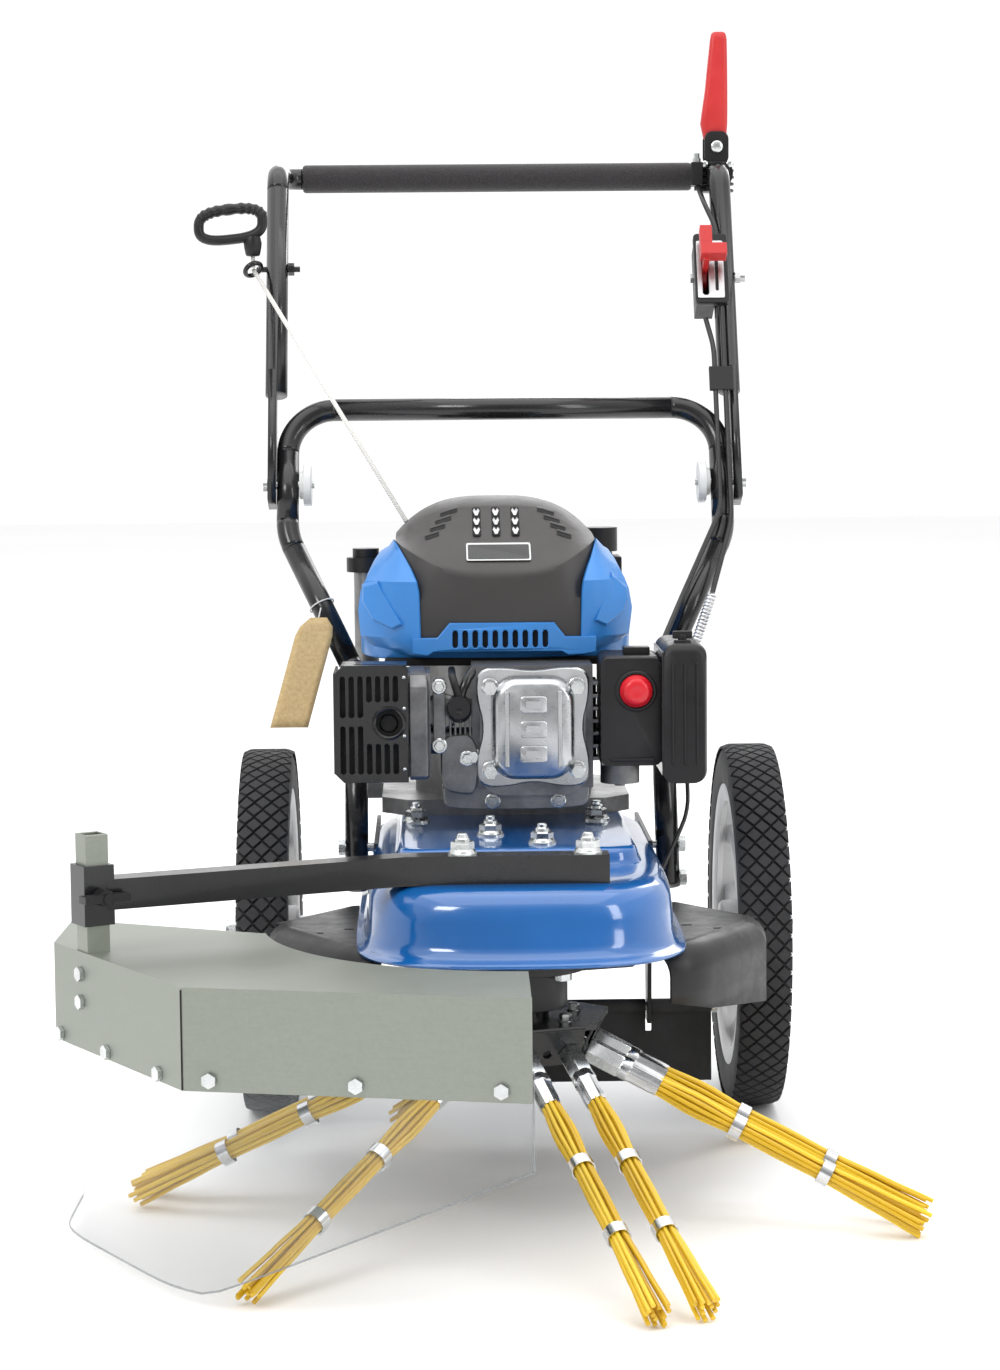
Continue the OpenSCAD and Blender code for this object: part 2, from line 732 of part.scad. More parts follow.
module drive_belt() place() color(dark)
  translate([belt_a[0], belt_a[1], 245]) rotate(belt_t) {
    belt_arc(drive_r, [90 + belt_p, 270 - belt_p]);
    translate([belt_l, 0, 0])
      belt_arc(driven_r, [-90 - belt_p, 90 + belt_p]);
    for (k = [-1, 1])
      rotate(k * belt_p)
        translate([0, k > 0 ? drive_r + belt_g : -drive_r - belt_g - 7, 0]) {
          translate([0.01, 0, 0])
            cube([belt_l * cos(belt_p) - 0.02, 7, belt_h]);
          for (x = [0, belt_l * cos(belt_p)])
            translate([x - 2, 1, 1]) cube([4, 5, belt_h - 2]);
        }
  }

module spindle_pulley() place() color(steel) at_spindle() difference() {
  union() {
    translate([0, 0, 240]) cylinder(r = 45, h = 4.5);
    translate([0, 0, 244]) cylinder(r = driven_r, h = 10);
    translate([0, 0, 253.5]) cylinder(r = 45, h = 4.5);
    translate([0, 0, 258]) cylinder(r = 22, h = 6);
  }
  translate([0, 0, 230]) cylinder(r = shaft_r, h = 60);
}

idle_x = 64;
idle_y = -205;

module idler_arm() place() color(steel) difference() {
  union() {
    translate([22, -293, 262]) rotate(atan2(idle_y + 293, idle_x - 22))
      translate([0, -10, 0]) cube([norm([idle_x - 22, idle_y + 293]), 20, 5]);
    translate([22, -293, 262]) cylinder(r = 14, h = 5);
    translate([idle_x, idle_y, 262]) cylinder(r = 12, h = 5);
    translate([idle_x, idle_y, 238]) cylinder(r = 5, h = 26);
    translate([idle_x, idle_y, 236]) cylinder(r = 8, h = 3);
  }
  translate([22, -293, 250]) cylinder(r = 6 + run_fit, h = 30);
}

module idler_pulley() place() color(dark)
  translate([idle_x, idle_y, 241]) ring(20, 5 + run_fit, 16);

module spindle_housing() place() color(black) at_spindle() difference() {
  union() {
    translate([0, 0, 217]) cylinder(r = 56, h = 8);
    translate([0, 0, 184]) cylinder(r = 38, h = 34);
    translate([0, 0, 225]) cylinder(r = 29.5, h = 12);
  }
  translate([0, 0, 180]) cylinder(r = shaft_r + run_fit, h = 60);
  for (a = [45:90:315])
    rotate(a) translate([47, 0, 210]) cylinder(r = 4, h = 20);
}

// ---- rotor ---------------------------------------------------------------

// flange positions and the sideways places of their tufts
rotor = [[0, [-20, 20]], [60, [-20, 20]], [120, [0]], [180, [0]],
         [240, [-20, 20]], [300, [0]]];

module at_rotor() at_spindle() rotate(-90 + rotor_turn) children();

// frame of one mounting hole: +Z runs out along the tuft
module at_flange(a) rotate(a) translate([head_r, 0, head_z])
  rotate([0, 90 + tuft_dip, 0]) children();

module each_tuft() at_rotor()
  for (f = rotor)
    for (s = f[1])
      at_flange(f[0]) translate([0, s, 0]) children();

module spindle_shaft() place() color(steel) at_spindle() {
  translate([0, 0, 160]) cylinder(r = shaft_r, h = 108);
  translate([0, 0, 156]) hex(24, 5);
}

module brush_head() place() color(dark) at_rotor() difference() {
  union() {
    translate([0, 0, 172]) rotate(30) cylinder(r = 78, h = 4, $fn = 6);
    translate([0, 0, 161]) cylinder(r = 22, h = 12);
    translate([0, 0, 175]) cylinder(r = 22, h = 8.5);
    for (a = [0:60:300])
      at_flange(a) translate([-24, -30, -4]) cube([36, 60, 4]);
  }
  translate([0, 0, 150]) cylinder(r = shaft_r, h = 40);
  for (a = [0:60:300])
    for (s = [-20, 0, 20])
      at_flange(a) translate([0, s, -6]) cylinder(r = 4, h = 8);
}

module tuft_steel() place() color(silver) each_tuft() {
  hex(19, 32);
  translate([0, 0, 31]) cylinder(r = 9.5, h = 37);
  translate([0, 0, -9]) cylinder(r = 4, h = 10);
  translate([0, 0, -9]) hex(13, 5);
  for (z = [136, 218])
    translate([0, 0, z]) ring(10.5, tuft_r, 10);
}

module tufts() place() color(yellow) each_tuft() {
  translate([0, 0, 68]) cylinder(r = tuft_r, h = 160);
  translate([0, 0, 228])
    cylinder(r1 = tuft_r, r2 = tip_r, h = tuft_len - 228);
}

// ---- guard ---------------------------------------------------------------

function side_n(p, q) = [q[1] - p[1], p[0] - q[0]] / norm(q - p);
function end_in(p, q, at, d) = at + d * side_n(p, q);
function mid_in(p, q, r, d) =
  q + d * (side_n(p, q) + side_n(q, r)) / (1 + side_n(p, q) * side_n(q, r));

// points of the guard's outer wall, moved inwards by d
function rim_pts(d) = [
  end_in(ga, gb, ga, d), mid_in(ga, gb, gc, d), mid_in(gb, gc, gd, d),
  end_in(gc, gd, gd, d)
];
function back(v) = [for (i = [len(v) - 1:-1:0]) v[i]];

// bolt positions: start point, end point, distance along, height
skin_bolts = [
  [ga, gb, 23, 183], [ga, gb, 135, 183], [ga, gb, 250, 183],
  [gb, gc, 40, 180], [gb, gc, 134, 180], [gb, gc, 222, 180]
];
post_bolts = [[gb, gc, norm(gc - gb) - 53, 236], [gb, gc, norm(gc - gb) - 53, 213]];

// frame of a guard bolt: +Z points out of the guard
module at_skin(b) {
  n = side_n(b[0], b[1]);
  p = b[0] + b[2] * (b[1] - b[0]) / norm(b[1] - b[0]);
  translate([p[0], p[1], b[3]]) rotate([0, 90, atan2(-n[1], -n[0])]) children();
}

module guard_sheet() place() color(silver) difference() {
  union() {
    translate([0, 0, gz - flange_h]) linear_extrude(flange_h)
      polygon(concat(rim_pts(0), back(rim_pts(guard_t))));
    difference() {
      translate([0, 0, gz - guard_t]) linear_extrude(guard_t)
        polygon([ga, gb, gc, gd, ge, [0, spindle_y]]);
      at_spindle() translate([0, 0, gz - 10]) cylinder(r = 218, h = 20, $fn = 128);
    }
  }
  translate([post_c[0], post_c[1], gz - 10]) rotate(post_ang)
    translate([-post_s / 2, -post_s / 2, 0]) cube([post_s, post_s, 20]);
  for (b = concat(skin_bolts, post_bolts))
    at_skin(b) translate([0, 0, -12]) cylinder(r = 3, h = 24);
}

module clear_skirt() place() color([0.75, 0.85, 0.9, 0.35]) difference() {
  translate([0, 0, 12]) linear_extrude(188)
    polygon(concat(rim_pts(guard_t), back(rim_pts(guard_t + 2))));
  for (b = skin_bolts)
    at_skin(b) translate([0, 0, -12]) cylinder(r = 3, h = 24);
  // the lower edge rises towards the open end
  translate([-247, spindle_y - 300, 12])
    rotate([0, -23.5, 0]) translate([0, -100, -200]) cube([450, 200, 200]);
}

module guard_bolts() place() color(steel) {
  for (b = skin_bolts)
    at_skin(b) {
      translate([0, 0, -9]) cylinder(r = 3, h = 9);
      translate([0, 0, 0.1]) hex(11, 4);
      translate([0, 0, -9]) hex(10, 5);
      translate([0, 0, -1]) cylinder(r = 3, h = 3);
    }
  for (b = post_bolts)
    at_skin(b) {
      translate([0, 0, -28]) cylinder(r = 3, h = 29);
      translate([0, 0, 0.1]) hex(11, 4);
      translate([0, 0, -28]) hex(11, 5);
    }
}

module guard_post() place() color(silver) difference() {
  translate([post_c[0], post_c[1], 202]) rotate(post_ang)
    translate([-post_s / 2, -post_s / 2, 0]) cube([post_s, post_s, 148]);
  for (b = post_bolts)
    at_skin(b) translate([0, 0, -40]) cylinder(r = 3, h = 40);
  translate([post_c[0], post_c[1], 240]) rotate(post_ang)
    translate([-8, -8, 0]) cube([16, 16, 120]);
}

// centre line of the arm: right end, bend, and a point inside the collar
arm_p = [74, arm_y];
arm_q = [arm_bend_x, arm_y];
arm_r = post_c - 8 * unit(post_c - arm_q);
function arm_side(d) = [
  end_in(arm_p, arm_q, arm_p, d), mid_in(arm_p, arm_q, arm_r, d),
  end_in(arm_q, arm_r, arm_r, d)
];

module guard_arm() place() color(black) difference() {
  union() {
    translate([0, 0, arm_z]) linear_extrude(arm_s)
      polygon(concat(arm_side(arm_s / 2), back(arm_side(-arm_s / 2))));
    translate([post_c[0], post_c[1], 276]) rotate(post_ang)
      translate([-13.3, -13.3, 0]) cube([26.6, 26.6, 49]);
  }
  translate([post_c[0], post_c[1], 270]) rotate(post_ang)
    translate([-post_s / 2 - 0.3, -post_s / 2 - 0.3, 0])
      cube([post_s + 0.6, post_s + 0.6, 60]);
  translate([post_c[0], post_c[1], 300]) rotate(post_ang)
    rotate([0, 90, 0]) cylinder(r = 4 + run_fit, h = 40);
  for (x = [-50, 56])
    translate([x, arm_y, arm_z - 1]) cylinder(r = 5, h = arm_s + 2);
}

module wing_bolt() place() color(black)
  translate([post_c[0], post_c[1], 300]) rotate(post_ang) rotate([0, 90, 0]) {
    translate([0, 0, post_s / 2 + 0.8]) cylinder(r = 4, h = 20);
    translate([0, 0, 14.5]) cylinder(r = 7, h = 14);
    translate([-3, -20, 18]) cube([6, 40, 12]);
  }

// ---- small trim ----------------------------------------------------------

module hang_tag() place() color([0.72, 0.6, 0.42]) {
  a = lp(-147, 430);
  b = lp(-lower_x, 563);
  c = a + (b - a) * 0.5;
  v = unit(b - a);
  translate(c) rotate([0, acos(v[2]), atan2(v[1], v[0])])
    rotate_extrude() translate([12.2, 0]) circle(r = 1, $fn = 16);
  // the card leans on the front of the tube
  translate(lp(-183, 430)) rotate([-lean, 0, 0]) {
    translate([0, -13, -50]) rotate([90, 0, 0]) linear_extrude(1)
      polygon([[-18, 0], [18, 0], [18, 100], [8, 112], [-8, 112], [-18, 100]]);
    bar([2.5, -12.4, 73], [0, -13.5, 56], 1);
  }
}

deck();
fasteners();
debris_plate();
rear_flap();
axle_brackets();
axle();
tyre_left();
rim_left();
tyre_right();
rim_right();
lower_handle();
upper_handle();
foam_grip();
knob_left();
knob_right();
lever_bracket();
clutch_lever();
throttle_box();
throttle_plate();
throttle_lever();
starter_grip();
rope_guide();
starter_rope();
rope_tail();
cables_upper();
cables_lower();
clutch_spring();
crankcase();
cylinder_fins();
valve_cover();
spark_plug();
blue_shroud();
top_cover();
flywheel();
crankshaft();
oil_cap();
fuel_tank();
fuel_cap();
muffler();
muffler_guard();
filter_base();
filter_cover();
primer_bulb();
carburettor();
drive_belt();
spindle_pulley();
idler_arm();
idler_pulley();
spindle_housing();
spindle_shaft();
brush_head();
tuft_steel();
tufts();
guard_arm();
wing_bolt();
guard_post();
guard_sheet();
guard_bolts();
clear_skirt();
hang_tag();
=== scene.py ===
import random
from math import ceil, copysign, cos, pi, radians, sin, tan

import bpy
from mathutils import Matrix, Vector


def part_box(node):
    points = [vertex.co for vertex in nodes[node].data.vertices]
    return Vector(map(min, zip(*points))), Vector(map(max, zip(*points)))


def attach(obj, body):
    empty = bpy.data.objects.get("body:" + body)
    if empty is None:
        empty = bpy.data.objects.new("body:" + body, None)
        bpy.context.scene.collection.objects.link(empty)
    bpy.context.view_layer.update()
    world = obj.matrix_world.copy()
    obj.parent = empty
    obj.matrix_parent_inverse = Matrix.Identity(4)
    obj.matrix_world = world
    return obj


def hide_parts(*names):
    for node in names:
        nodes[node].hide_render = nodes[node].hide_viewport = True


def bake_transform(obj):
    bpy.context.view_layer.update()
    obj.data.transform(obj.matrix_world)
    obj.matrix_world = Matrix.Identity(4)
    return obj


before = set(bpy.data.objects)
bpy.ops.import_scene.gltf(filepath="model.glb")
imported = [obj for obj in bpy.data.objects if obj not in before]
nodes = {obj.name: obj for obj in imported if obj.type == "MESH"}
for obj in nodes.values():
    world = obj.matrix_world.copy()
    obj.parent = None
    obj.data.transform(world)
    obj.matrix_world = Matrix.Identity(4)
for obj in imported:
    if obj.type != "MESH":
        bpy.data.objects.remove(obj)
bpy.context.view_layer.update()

MM = 0.001
axle_low, axle_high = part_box("axle")
ORIGIN = Vector(((axle_low.x + axle_high.x) / 2, (axle_low.y + axle_high.y) / 2, 0))


def at(x, y, z):
    return ORIGIN + Vector((x, y, z)) * MM


# ---- driving sizes, mm ----------------------------------------------------

WHEEL_R = 177.5
TRACK = 470
SPINDLE_Y = -422
HEAD_R = 58
HEAD_Z = 152
DIP = radians(26.5)
ROTOR_TURN = 18.8
TIP_R = 12
TUFT_LEN = (HEAD_Z - TIP_R * cos(DIP)) / sin(DIP)
LEAN = radians(25)
PIVOT_Y = 47
PIVOT_Z = 612
GUARD_TOP = 254


def lean_y(z):
    return PIVOT_Y + (z - PIVOT_Z) * tan(LEAN)


# ---- materials ------------------------------------------------------------


def fill(node, **values):
    """Give a node's inputs their values; an underscore in a name stands for a space."""
    for key, value in values.items():
        node.inputs[key.replace("_", " ")].default_value = value


class Nodes:
    """Short forms for building one material's node tree."""

    def __init__(self, name):
        self.mat = bpy.data.materials.new(name + "_look")
        self.mat.use_nodes = True
        self.tree = self.mat.node_tree
        self.bsdf = self.tree.nodes["Principled BSDF"]
        coords = self.tree.nodes.new("ShaderNodeTexCoord")
        self.coords = coords.outputs["Object"]

    def new(self, kind, **values):
        node = self.tree.nodes.new("ShaderNode" + kind)
        for key, value in values.items():
            setattr(node, key, value)
        return node

    def link(self, a, b):
        self.tree.links.new(a, b)

    def stretch(self, scale):
        mapping = self.new("Mapping")
        fill(mapping, Scale=scale)
        self.link(self.coords, mapping.inputs["Vector"])
        return mapping.outputs["Vector"]

    def noise(self, scale, detail=4, rough=0.55, vector=None):
        noise = self.new("TexNoise")
        fill(noise, Scale=scale, Detail=detail, Roughness=rough)
        self.link(vector or self.coords, noise.inputs["Vector"])
        return noise.outputs["Fac"]

    def cells(self, scale, feature="F1", output="Distance"):
        cells = self.new("TexVoronoi", feature=feature)
        fill(cells, Scale=scale)
        self.link(self.coords, cells.inputs["Vector"])
        return cells.outputs[output]

    def span(self, value, low, high, from_low=0.3, from_high=0.7):
        ramp = self.new("MapRange")
        fill(ramp, From_Min=from_low, From_Max=from_high, To_Min=low, To_Max=high)
        self.link(value, ramp.inputs["Value"])
        return ramp.outputs["Result"]

    def tones(self, value, dark, light, low=0.3, high=0.7):
        ramp = self.new("ValToRGB")
        for stop, place, tone in zip(ramp.color_ramp.elements, (low, high), (dark, light)):
            stop.position = place
            stop.color = (*tone, 1)
        self.link(value, ramp.inputs["Fac"])
        return ramp.outputs["Color"]

    def bump(self, height, strength, distance=0.0005, onto=None):
        bump = self.new("Bump")
        fill(bump, Strength=strength, Distance=distance)
        self.link(height, bump.inputs["Height"])
        if onto:
            self.link(onto, bump.inputs["Normal"])
        self.link(bump.outputs["Normal"], self.bsdf.inputs["Normal"])
        return bump.outputs["Normal"]

    def color(self, source):
        self.link(source, self.bsdf.inputs["Base Color"])

    def gloss(self, source):
        self.link(source, self.bsdf.inputs["Roughness"])

    def set(self, **values):
        fill(self.bsdf, **values)


def shade(color, factor):
    return tuple(min(1, c * factor) for c in color)


def finish_of(name, color, rough, metal=0.0, coat=0.0, grain=900, grain_depth=0.15,
              mottle=14, contrast=0.14, rough_spread=0.1, specular=0.5):
    """A plain painted, moulded or plated finish: soft mottling, fine grain, uneven gloss."""
    n = Nodes(name)
    n.set(Metallic=metal, Coat_Weight=coat, Coat_Roughness=0.06, Specular_IOR_Level=specular)
    broad = n.noise(mottle, detail=6)
    n.color(n.tones(broad, shade(color, 1 - contrast), shade(color, 1 + contrast)))
    fine = n.noise(grain, detail=3)
    smears = n.noise(mottle * 4, detail=8, rough=0.7)
    n.gloss(n.span(smears, rough - rough_spread, rough + rough_spread))
    n.bump(fine, grain_depth)
    return n.mat


def galvanised(name, color=(0.265, 0.285, 0.25)):
    """Zinc sheet with a faint crystal spangle and rolling streaks."""
    n = Nodes(name)
    n.set(Metallic=0.7)
    spangle = n.cells(330, output="Color")
    streaks = n.noise(55, detail=5, vector=n.stretch((1, 1, 14)))
    mix = n.new("Mix", data_type="FLOAT")
    fill(mix, Factor=0.35)
    n.link(streaks, mix.inputs["A"])
    n.link(spangle, mix.inputs["B"])
    blend = mix.outputs["Result"]
    n.color(n.tones(blend, shade(color, 0.94), shade(color, 1.06), 0.2, 0.8))
    n.gloss(n.span(blend, 0.38, 0.46, 0.2, 0.8))
    n.bump(n.noise(500, detail=2), 0.03)
    return n.mat


def cast_metal(name, color, rough=0.5, depth=0.5, metal=0.9):
    """Die-cast alloy: sandy skin with darker soot in patches."""
    n = Nodes(name)
    n.set(Metallic=metal)
    patches = n.noise(26, detail=7, rough=0.65)
    n.color(n.tones(patches, shade(color, 0.6), shade(color, 1.15), 0.3, 0.62))
    n.gloss(n.span(patches, rough + 0.12, rough - 0.1))
    n.bump(n.noise(1100, detail=4, rough=0.7), depth)
    return n.mat


def rubber(name, color, depth=0.35, scale=700):
    """Dull rubber with dust in its skin."""
    n = Nodes(name)
    n.set(Specular_IOR_Level=0.35)
    dust = n.noise(38, detail=8, rough=0.7)
    n.color(n.tones(dust, shade(color, 0.75), shade(color, 1.7), 0.35, 0.75))
    n.gloss(n.span(dust, 0.6, 0.85))
    n.bump(n.noise(scale, detail=5, rough=0.7), depth)
    return n.mat


def foam(name):
    """Closed-cell foam: tiny open pores over a soft black skin."""
    n = Nodes(name)
    n.set(Specular_IOR_Level=0.3, Sheen_Weight=0.25)
    pores = n.cells(900)
    n.color(n.tones(pores, (0.008, 0.008, 0.009), (0.032, 0.029, 0.031), 0.1, 0.6))
    n.gloss(n.span(pores, 0.9, 0.75, 0, 0.6))
    n.bump(pores, 0.5, 0.0008)
    return n.mat


def strand_coat(name):
    """Plastic-coated wire: each strand has its own tone, kept in its colour attribute."""
    n = Nodes(name)
    n.set(Coat_Weight=0.15, Coat_Roughness=0.2, Specular_IOR_Level=0.45)
    tone = n.new("Attribute", attribute_name="strand")
    n.color(n.tones(tone.outputs["Fac"], (0.6, 0.36, 0.008), (0.82, 0.56, 0.03), 0, 1))
    n.gloss(n.span(n.noise(160, detail=6), 0.34, 0.52))
    n.bump(n.noise(700, detail=3), 0.2)
    return n.mat


def clear_sheet(name, alpha):
    """Thin clear plastic with faint scuffs that catch the light."""
    n = Nodes(name)
    n.set(Roughness=0.08, IOR=1.45, Alpha=alpha)
    scuffs = n.noise(24, detail=9, rough=0.75)
    n.color(n.tones(scuffs, (0.2, 0.22, 0.23), (0.34, 0.36, 0.37)))
    n.bump(n.noise(30, detail=3), 0.03, 0.001)
    return n.mat


def braid(name, color):
    """Braided cord: fine diagonal strands."""
    n = Nodes(name)
    wave = n.new("TexWave", bands_direction="DIAGONAL")
    fill(wave, Scale=260, Distortion=2)
    n.link(n.coords, wave.inputs["Vector"])
    n.color(n.tones(wave.outputs["Fac"], shade(color, 0.7), color, 0.2, 0.7))
    n.set(Roughness=0.8)
    n.bump(wave.outputs["Fac"], 0.5)
    return n.mat


def card(name):
    """Kraft card with short fibres."""
    n = Nodes(name)
    fibres = n.noise(300, detail=8, rough=0.8)
    n.color(n.tones(fibres, (0.42, 0.29, 0.13), (0.6, 0.45, 0.24), 0.35, 0.7))
    n.set(Roughness=0.85)
    n.bump(fibres, 0.25)
    return n.mat


DECK_BLUE = finish_of("deck_blue", (0.003, 0.105, 0.36), 0.18, coat=0.9, grain=260, grain_depth=0.05,
                      mottle=9, contrast=0.1, rough_spread=0.06)
SHROUD_BLUE = finish_of("engine_blue", (0.03, 0.2, 0.55), 0.36, coat=0.1, grain=1400,
                        grain_depth=0.06, mottle=18, contrast=0.07, rough_spread=0.06)
GLOSS_BLACK = finish_of("black_paint", (0.008, 0.008, 0.009), 0.24, coat=0.25, grain=420,
                        grain_depth=0.04, contrast=0.3, rough_spread=0.06, specular=0.4)
SATIN_BLACK = finish_of("satin_black", (0.013, 0.013, 0.014), 0.4, grain=900, grain_depth=0.12,
                        contrast=0.3, specular=0.35)
BLACK_PLASTIC = finish_of("black_plastic", (0.01, 0.009, 0.01), 0.4, grain=1500, grain_depth=0.2,
                          contrast=0.25, specular=0.35)
HOOD_PLASTIC = finish_of("hood_plastic", (0.034, 0.031, 0.03), 0.44, grain=2200, grain_depth=0.3,
                         mottle=10, contrast=0.12, rough_spread=0.06)
RED_PLASTIC = finish_of("red_plastic", (0.5, 0.02, 0.02), 0.42, grain=1300, grain_depth=0.15,
                        contrast=0.1)
BULB_RED = finish_of("bulb_red", (0.6, 0.01, 0.02), 0.34, grain=500, grain_depth=0.08, contrast=0.1)
PALE_PLASTIC = finish_of("pale_plastic", (0.62, 0.63, 0.63), 0.38, grain=1200, grain_depth=0.1,
                         contrast=0.06)
RIM_GREY = finish_of("rim_plastic", (0.55, 0.55, 0.55), 0.45, grain=1300, grain_depth=0.2, contrast=0.12)
ZINC = finish_of("zinc", (0.6, 0.62, 0.62), 0.27, metal=1.0, grain=1500, grain_depth=0.03,
                 mottle=60, contrast=0.14, rough_spread=0.05)
BARE_STEEL = finish_of("bare_steel", (0.55, 0.55, 0.56), 0.32, metal=1.0, grain=1800,
                       grain_depth=0.05, mottle=40, contrast=0.16, rough_spread=0.06)
CRIMP_STEEL = finish_of("crimp_steel", (0.66, 0.67, 0.68), 0.2, metal=1.0, grain=700,
                        grain_depth=0.03, mottle=90, contrast=0.12, rough_spread=0.05)
COVER_ALLOY = finish_of("cover_alloy", (0.5, 0.51, 0.52), 0.3, metal=1.0, grain=1600,
                        grain_depth=0.05, mottle=35, contrast=0.12, rough_spread=0.06)
MUFFLER_STEEL = cast_metal("muffler_steel", (0.2, 0.2, 0.205), 0.42, 0.15)
ENGINE_ALLOY = cast_metal("engine_alloy", (0.25, 0.25, 0.25), 0.45, 0.25)
DARK_ALLOY = cast_metal("dark_alloy", (0.16, 0.16, 0.165), 0.5, 0.3)
BLACK_CAST = cast_metal("cast", (0.025, 0.025, 0.025), 0.45, 0.4, metal=0.2)
GALVANISED = galvanised("galvanised")
TYRE = rubber("tyre_rubber", (0.024, 0.024, 0.026))
FLAP_RUBBER = rubber("flap_rubber", (0.022, 0.022, 0.023), 0.2)
BELT_RUBBER = rubber("belt_rubber", (0.03, 0.03, 0.03), 0.5)
FOAM = foam("foam")
YELLOW = strand_coat("wire_yellow")
CLEAR = clear_sheet("clear_sheet", 0.13)
# more opaque copy of the clear sheet: painted highlight along the skirt's edges
EDGE_HIGHLIGHT_SHEET = clear_sheet("clear_edge_highlight", 0.5)
ROPE = braid("rope_white", (0.8, 0.79, 0.76))
CABLE = finish_of("cable_black", (0.014, 0.014, 0.014), 0.3, grain=500, grain_depth=0.1, contrast=0.2)
KRAFT = card("kraft")
# near-black finish used as painted shade in openings, recesses, gaps and under parts
PAINTED_SHADE = finish_of("painted_shade_black", (0.004, 0.004, 0.004), 0.8, grain=800, grain_depth=0.2, contrast=0.3)

# ---- CAD nodes that stay, each with its finish and the width of its worn edges, mm -----

KEPT = {
    "fasteners": (ZINC, 0.5), "axle_brackets": (SATIN_BLACK, 0.6), "axle": (BARE_STEEL, 0.5),
    "rear_flap": (FLAP_RUBBER, 0.8), "lower_handle": (GLOSS_BLACK, 0), "upper_handle": (GLOSS_BLACK, 0),
    "foam_grip": (FOAM, 2.5), "knob_left": (PALE_PLASTIC, 1.2), "knob_right": (PALE_PLASTIC, 1.2),
    "throttle_box": (BLACK_PLASTIC, 1.4), "throttle_plate": (BARE_STEEL, 0.4),
    "throttle_lever": (RED_PLASTIC, 1.5), "lever_bracket": (BLACK_PLASTIC, 1.2),
    "rope_guide": (GLOSS_BLACK, 0.4), "starter_rope": (ROPE, 0), "rope_tail": (ROPE, 0),
    "crankcase": (ENGINE_ALLOY, 1.5), "spark_plug": (BLACK_PLASTIC, 0.8), "flywheel": (BLACK_CAST, 0.6),
    "crankshaft": (BARE_STEEL, 0.5), "oil_cap": (BLACK_PLASTIC, 1.5), "fuel_tank": (BLACK_PLASTIC, 5),
    "fuel_cap": (BLACK_PLASTIC, 1.8), "muffler": (MUFFLER_STEEL, 2.5), "carburettor": (ENGINE_ALLOY, 1.5),
    "drive_belt": (BELT_RUBBER, 0.8), "spindle_pulley": (BARE_STEEL, 0.5), "idler_arm": (ZINC, 0.5),
    "idler_pulley": (BLACK_PLASTIC, 0.8), "spindle_housing": (SATIN_BLACK, 1),
    "spindle_shaft": (BARE_STEEL, 0.5), "brush_head": (GLOSS_BLACK, 0.5), "guard_arm": (GLOSS_BLACK, 1.2),
    "guard_post": (GALVANISED, 0.8), "guard_sheet": (GALVANISED, 0.5), "guard_bolts": (ZINC, 0.4),
    "cylinder_fins": (DARK_ALLOY, 0.8), "wing_bolt": (BLACK_PLASTIC, 1.6),
}
SHARP = radians(32)


def polish(obj, width):
    """Smooth shading with rounded edges on a CAD node, by modifiers only."""
    mesh = obj.data
    if "custom_normal" in mesh.attributes:
        mesh.attributes.remove(mesh.attributes["custom_normal"])
    mesh.shade_smooth()
    weld = obj.modifiers.new("weld", "WELD")
    weld.merge_threshold = 0.00001
    if width > 0:
        round_edges(obj, width)


def round_edges(obj, width):
    """Bevel of a width in mm on the sharp edges."""
    bevel = obj.modifiers.new("edges", "BEVEL")
    bevel.width = width * MM
    bevel.segments = 2
    bevel.limit_method = "ANGLE"
    bevel.angle_limit = SHARP
    bevel.harden_normals = True


for kept_name, (kept_finish, kept_width) in KEPT.items():
    kept_node = nodes[kept_name]
    kept_node.data.materials.clear()
    kept_node.data.materials.append(kept_finish)
    polish(kept_node, kept_width)

# ---- mesh building --------------------------------------------------------


def piece(name, points, faces, finish, body, stands_for=(), edges=0, smooth_by=0, thickness=0):
    """One mesh piece from points in mm and faces, riding on a body, or left with its transform baked when
    given two.
    """
    mesh = bpy.data.meshes.new(name)
    mesh.from_pydata([at(*p) for p in points], [], faces)
    mesh.validate()
    obj = bpy.data.objects.new(name, mesh)
    bpy.context.scene.collection.objects.link(obj)
    mesh.materials.append(finish)
    mesh.shade_smooth()
    if thickness:
        shell = obj.modifiers.new("shell", "SOLIDIFY")
        shell.thickness = thickness * MM
        shell.offset = -1
    if edges:
        round_edges(obj, edges)
    if smooth_by:
        mesh.set_sharp_from_angle(angle=radians(smooth_by))
    if isinstance(body, tuple):
        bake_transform(obj)
    else:
        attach(obj, body)
    for node in stands_for:
        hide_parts(node)
    return obj


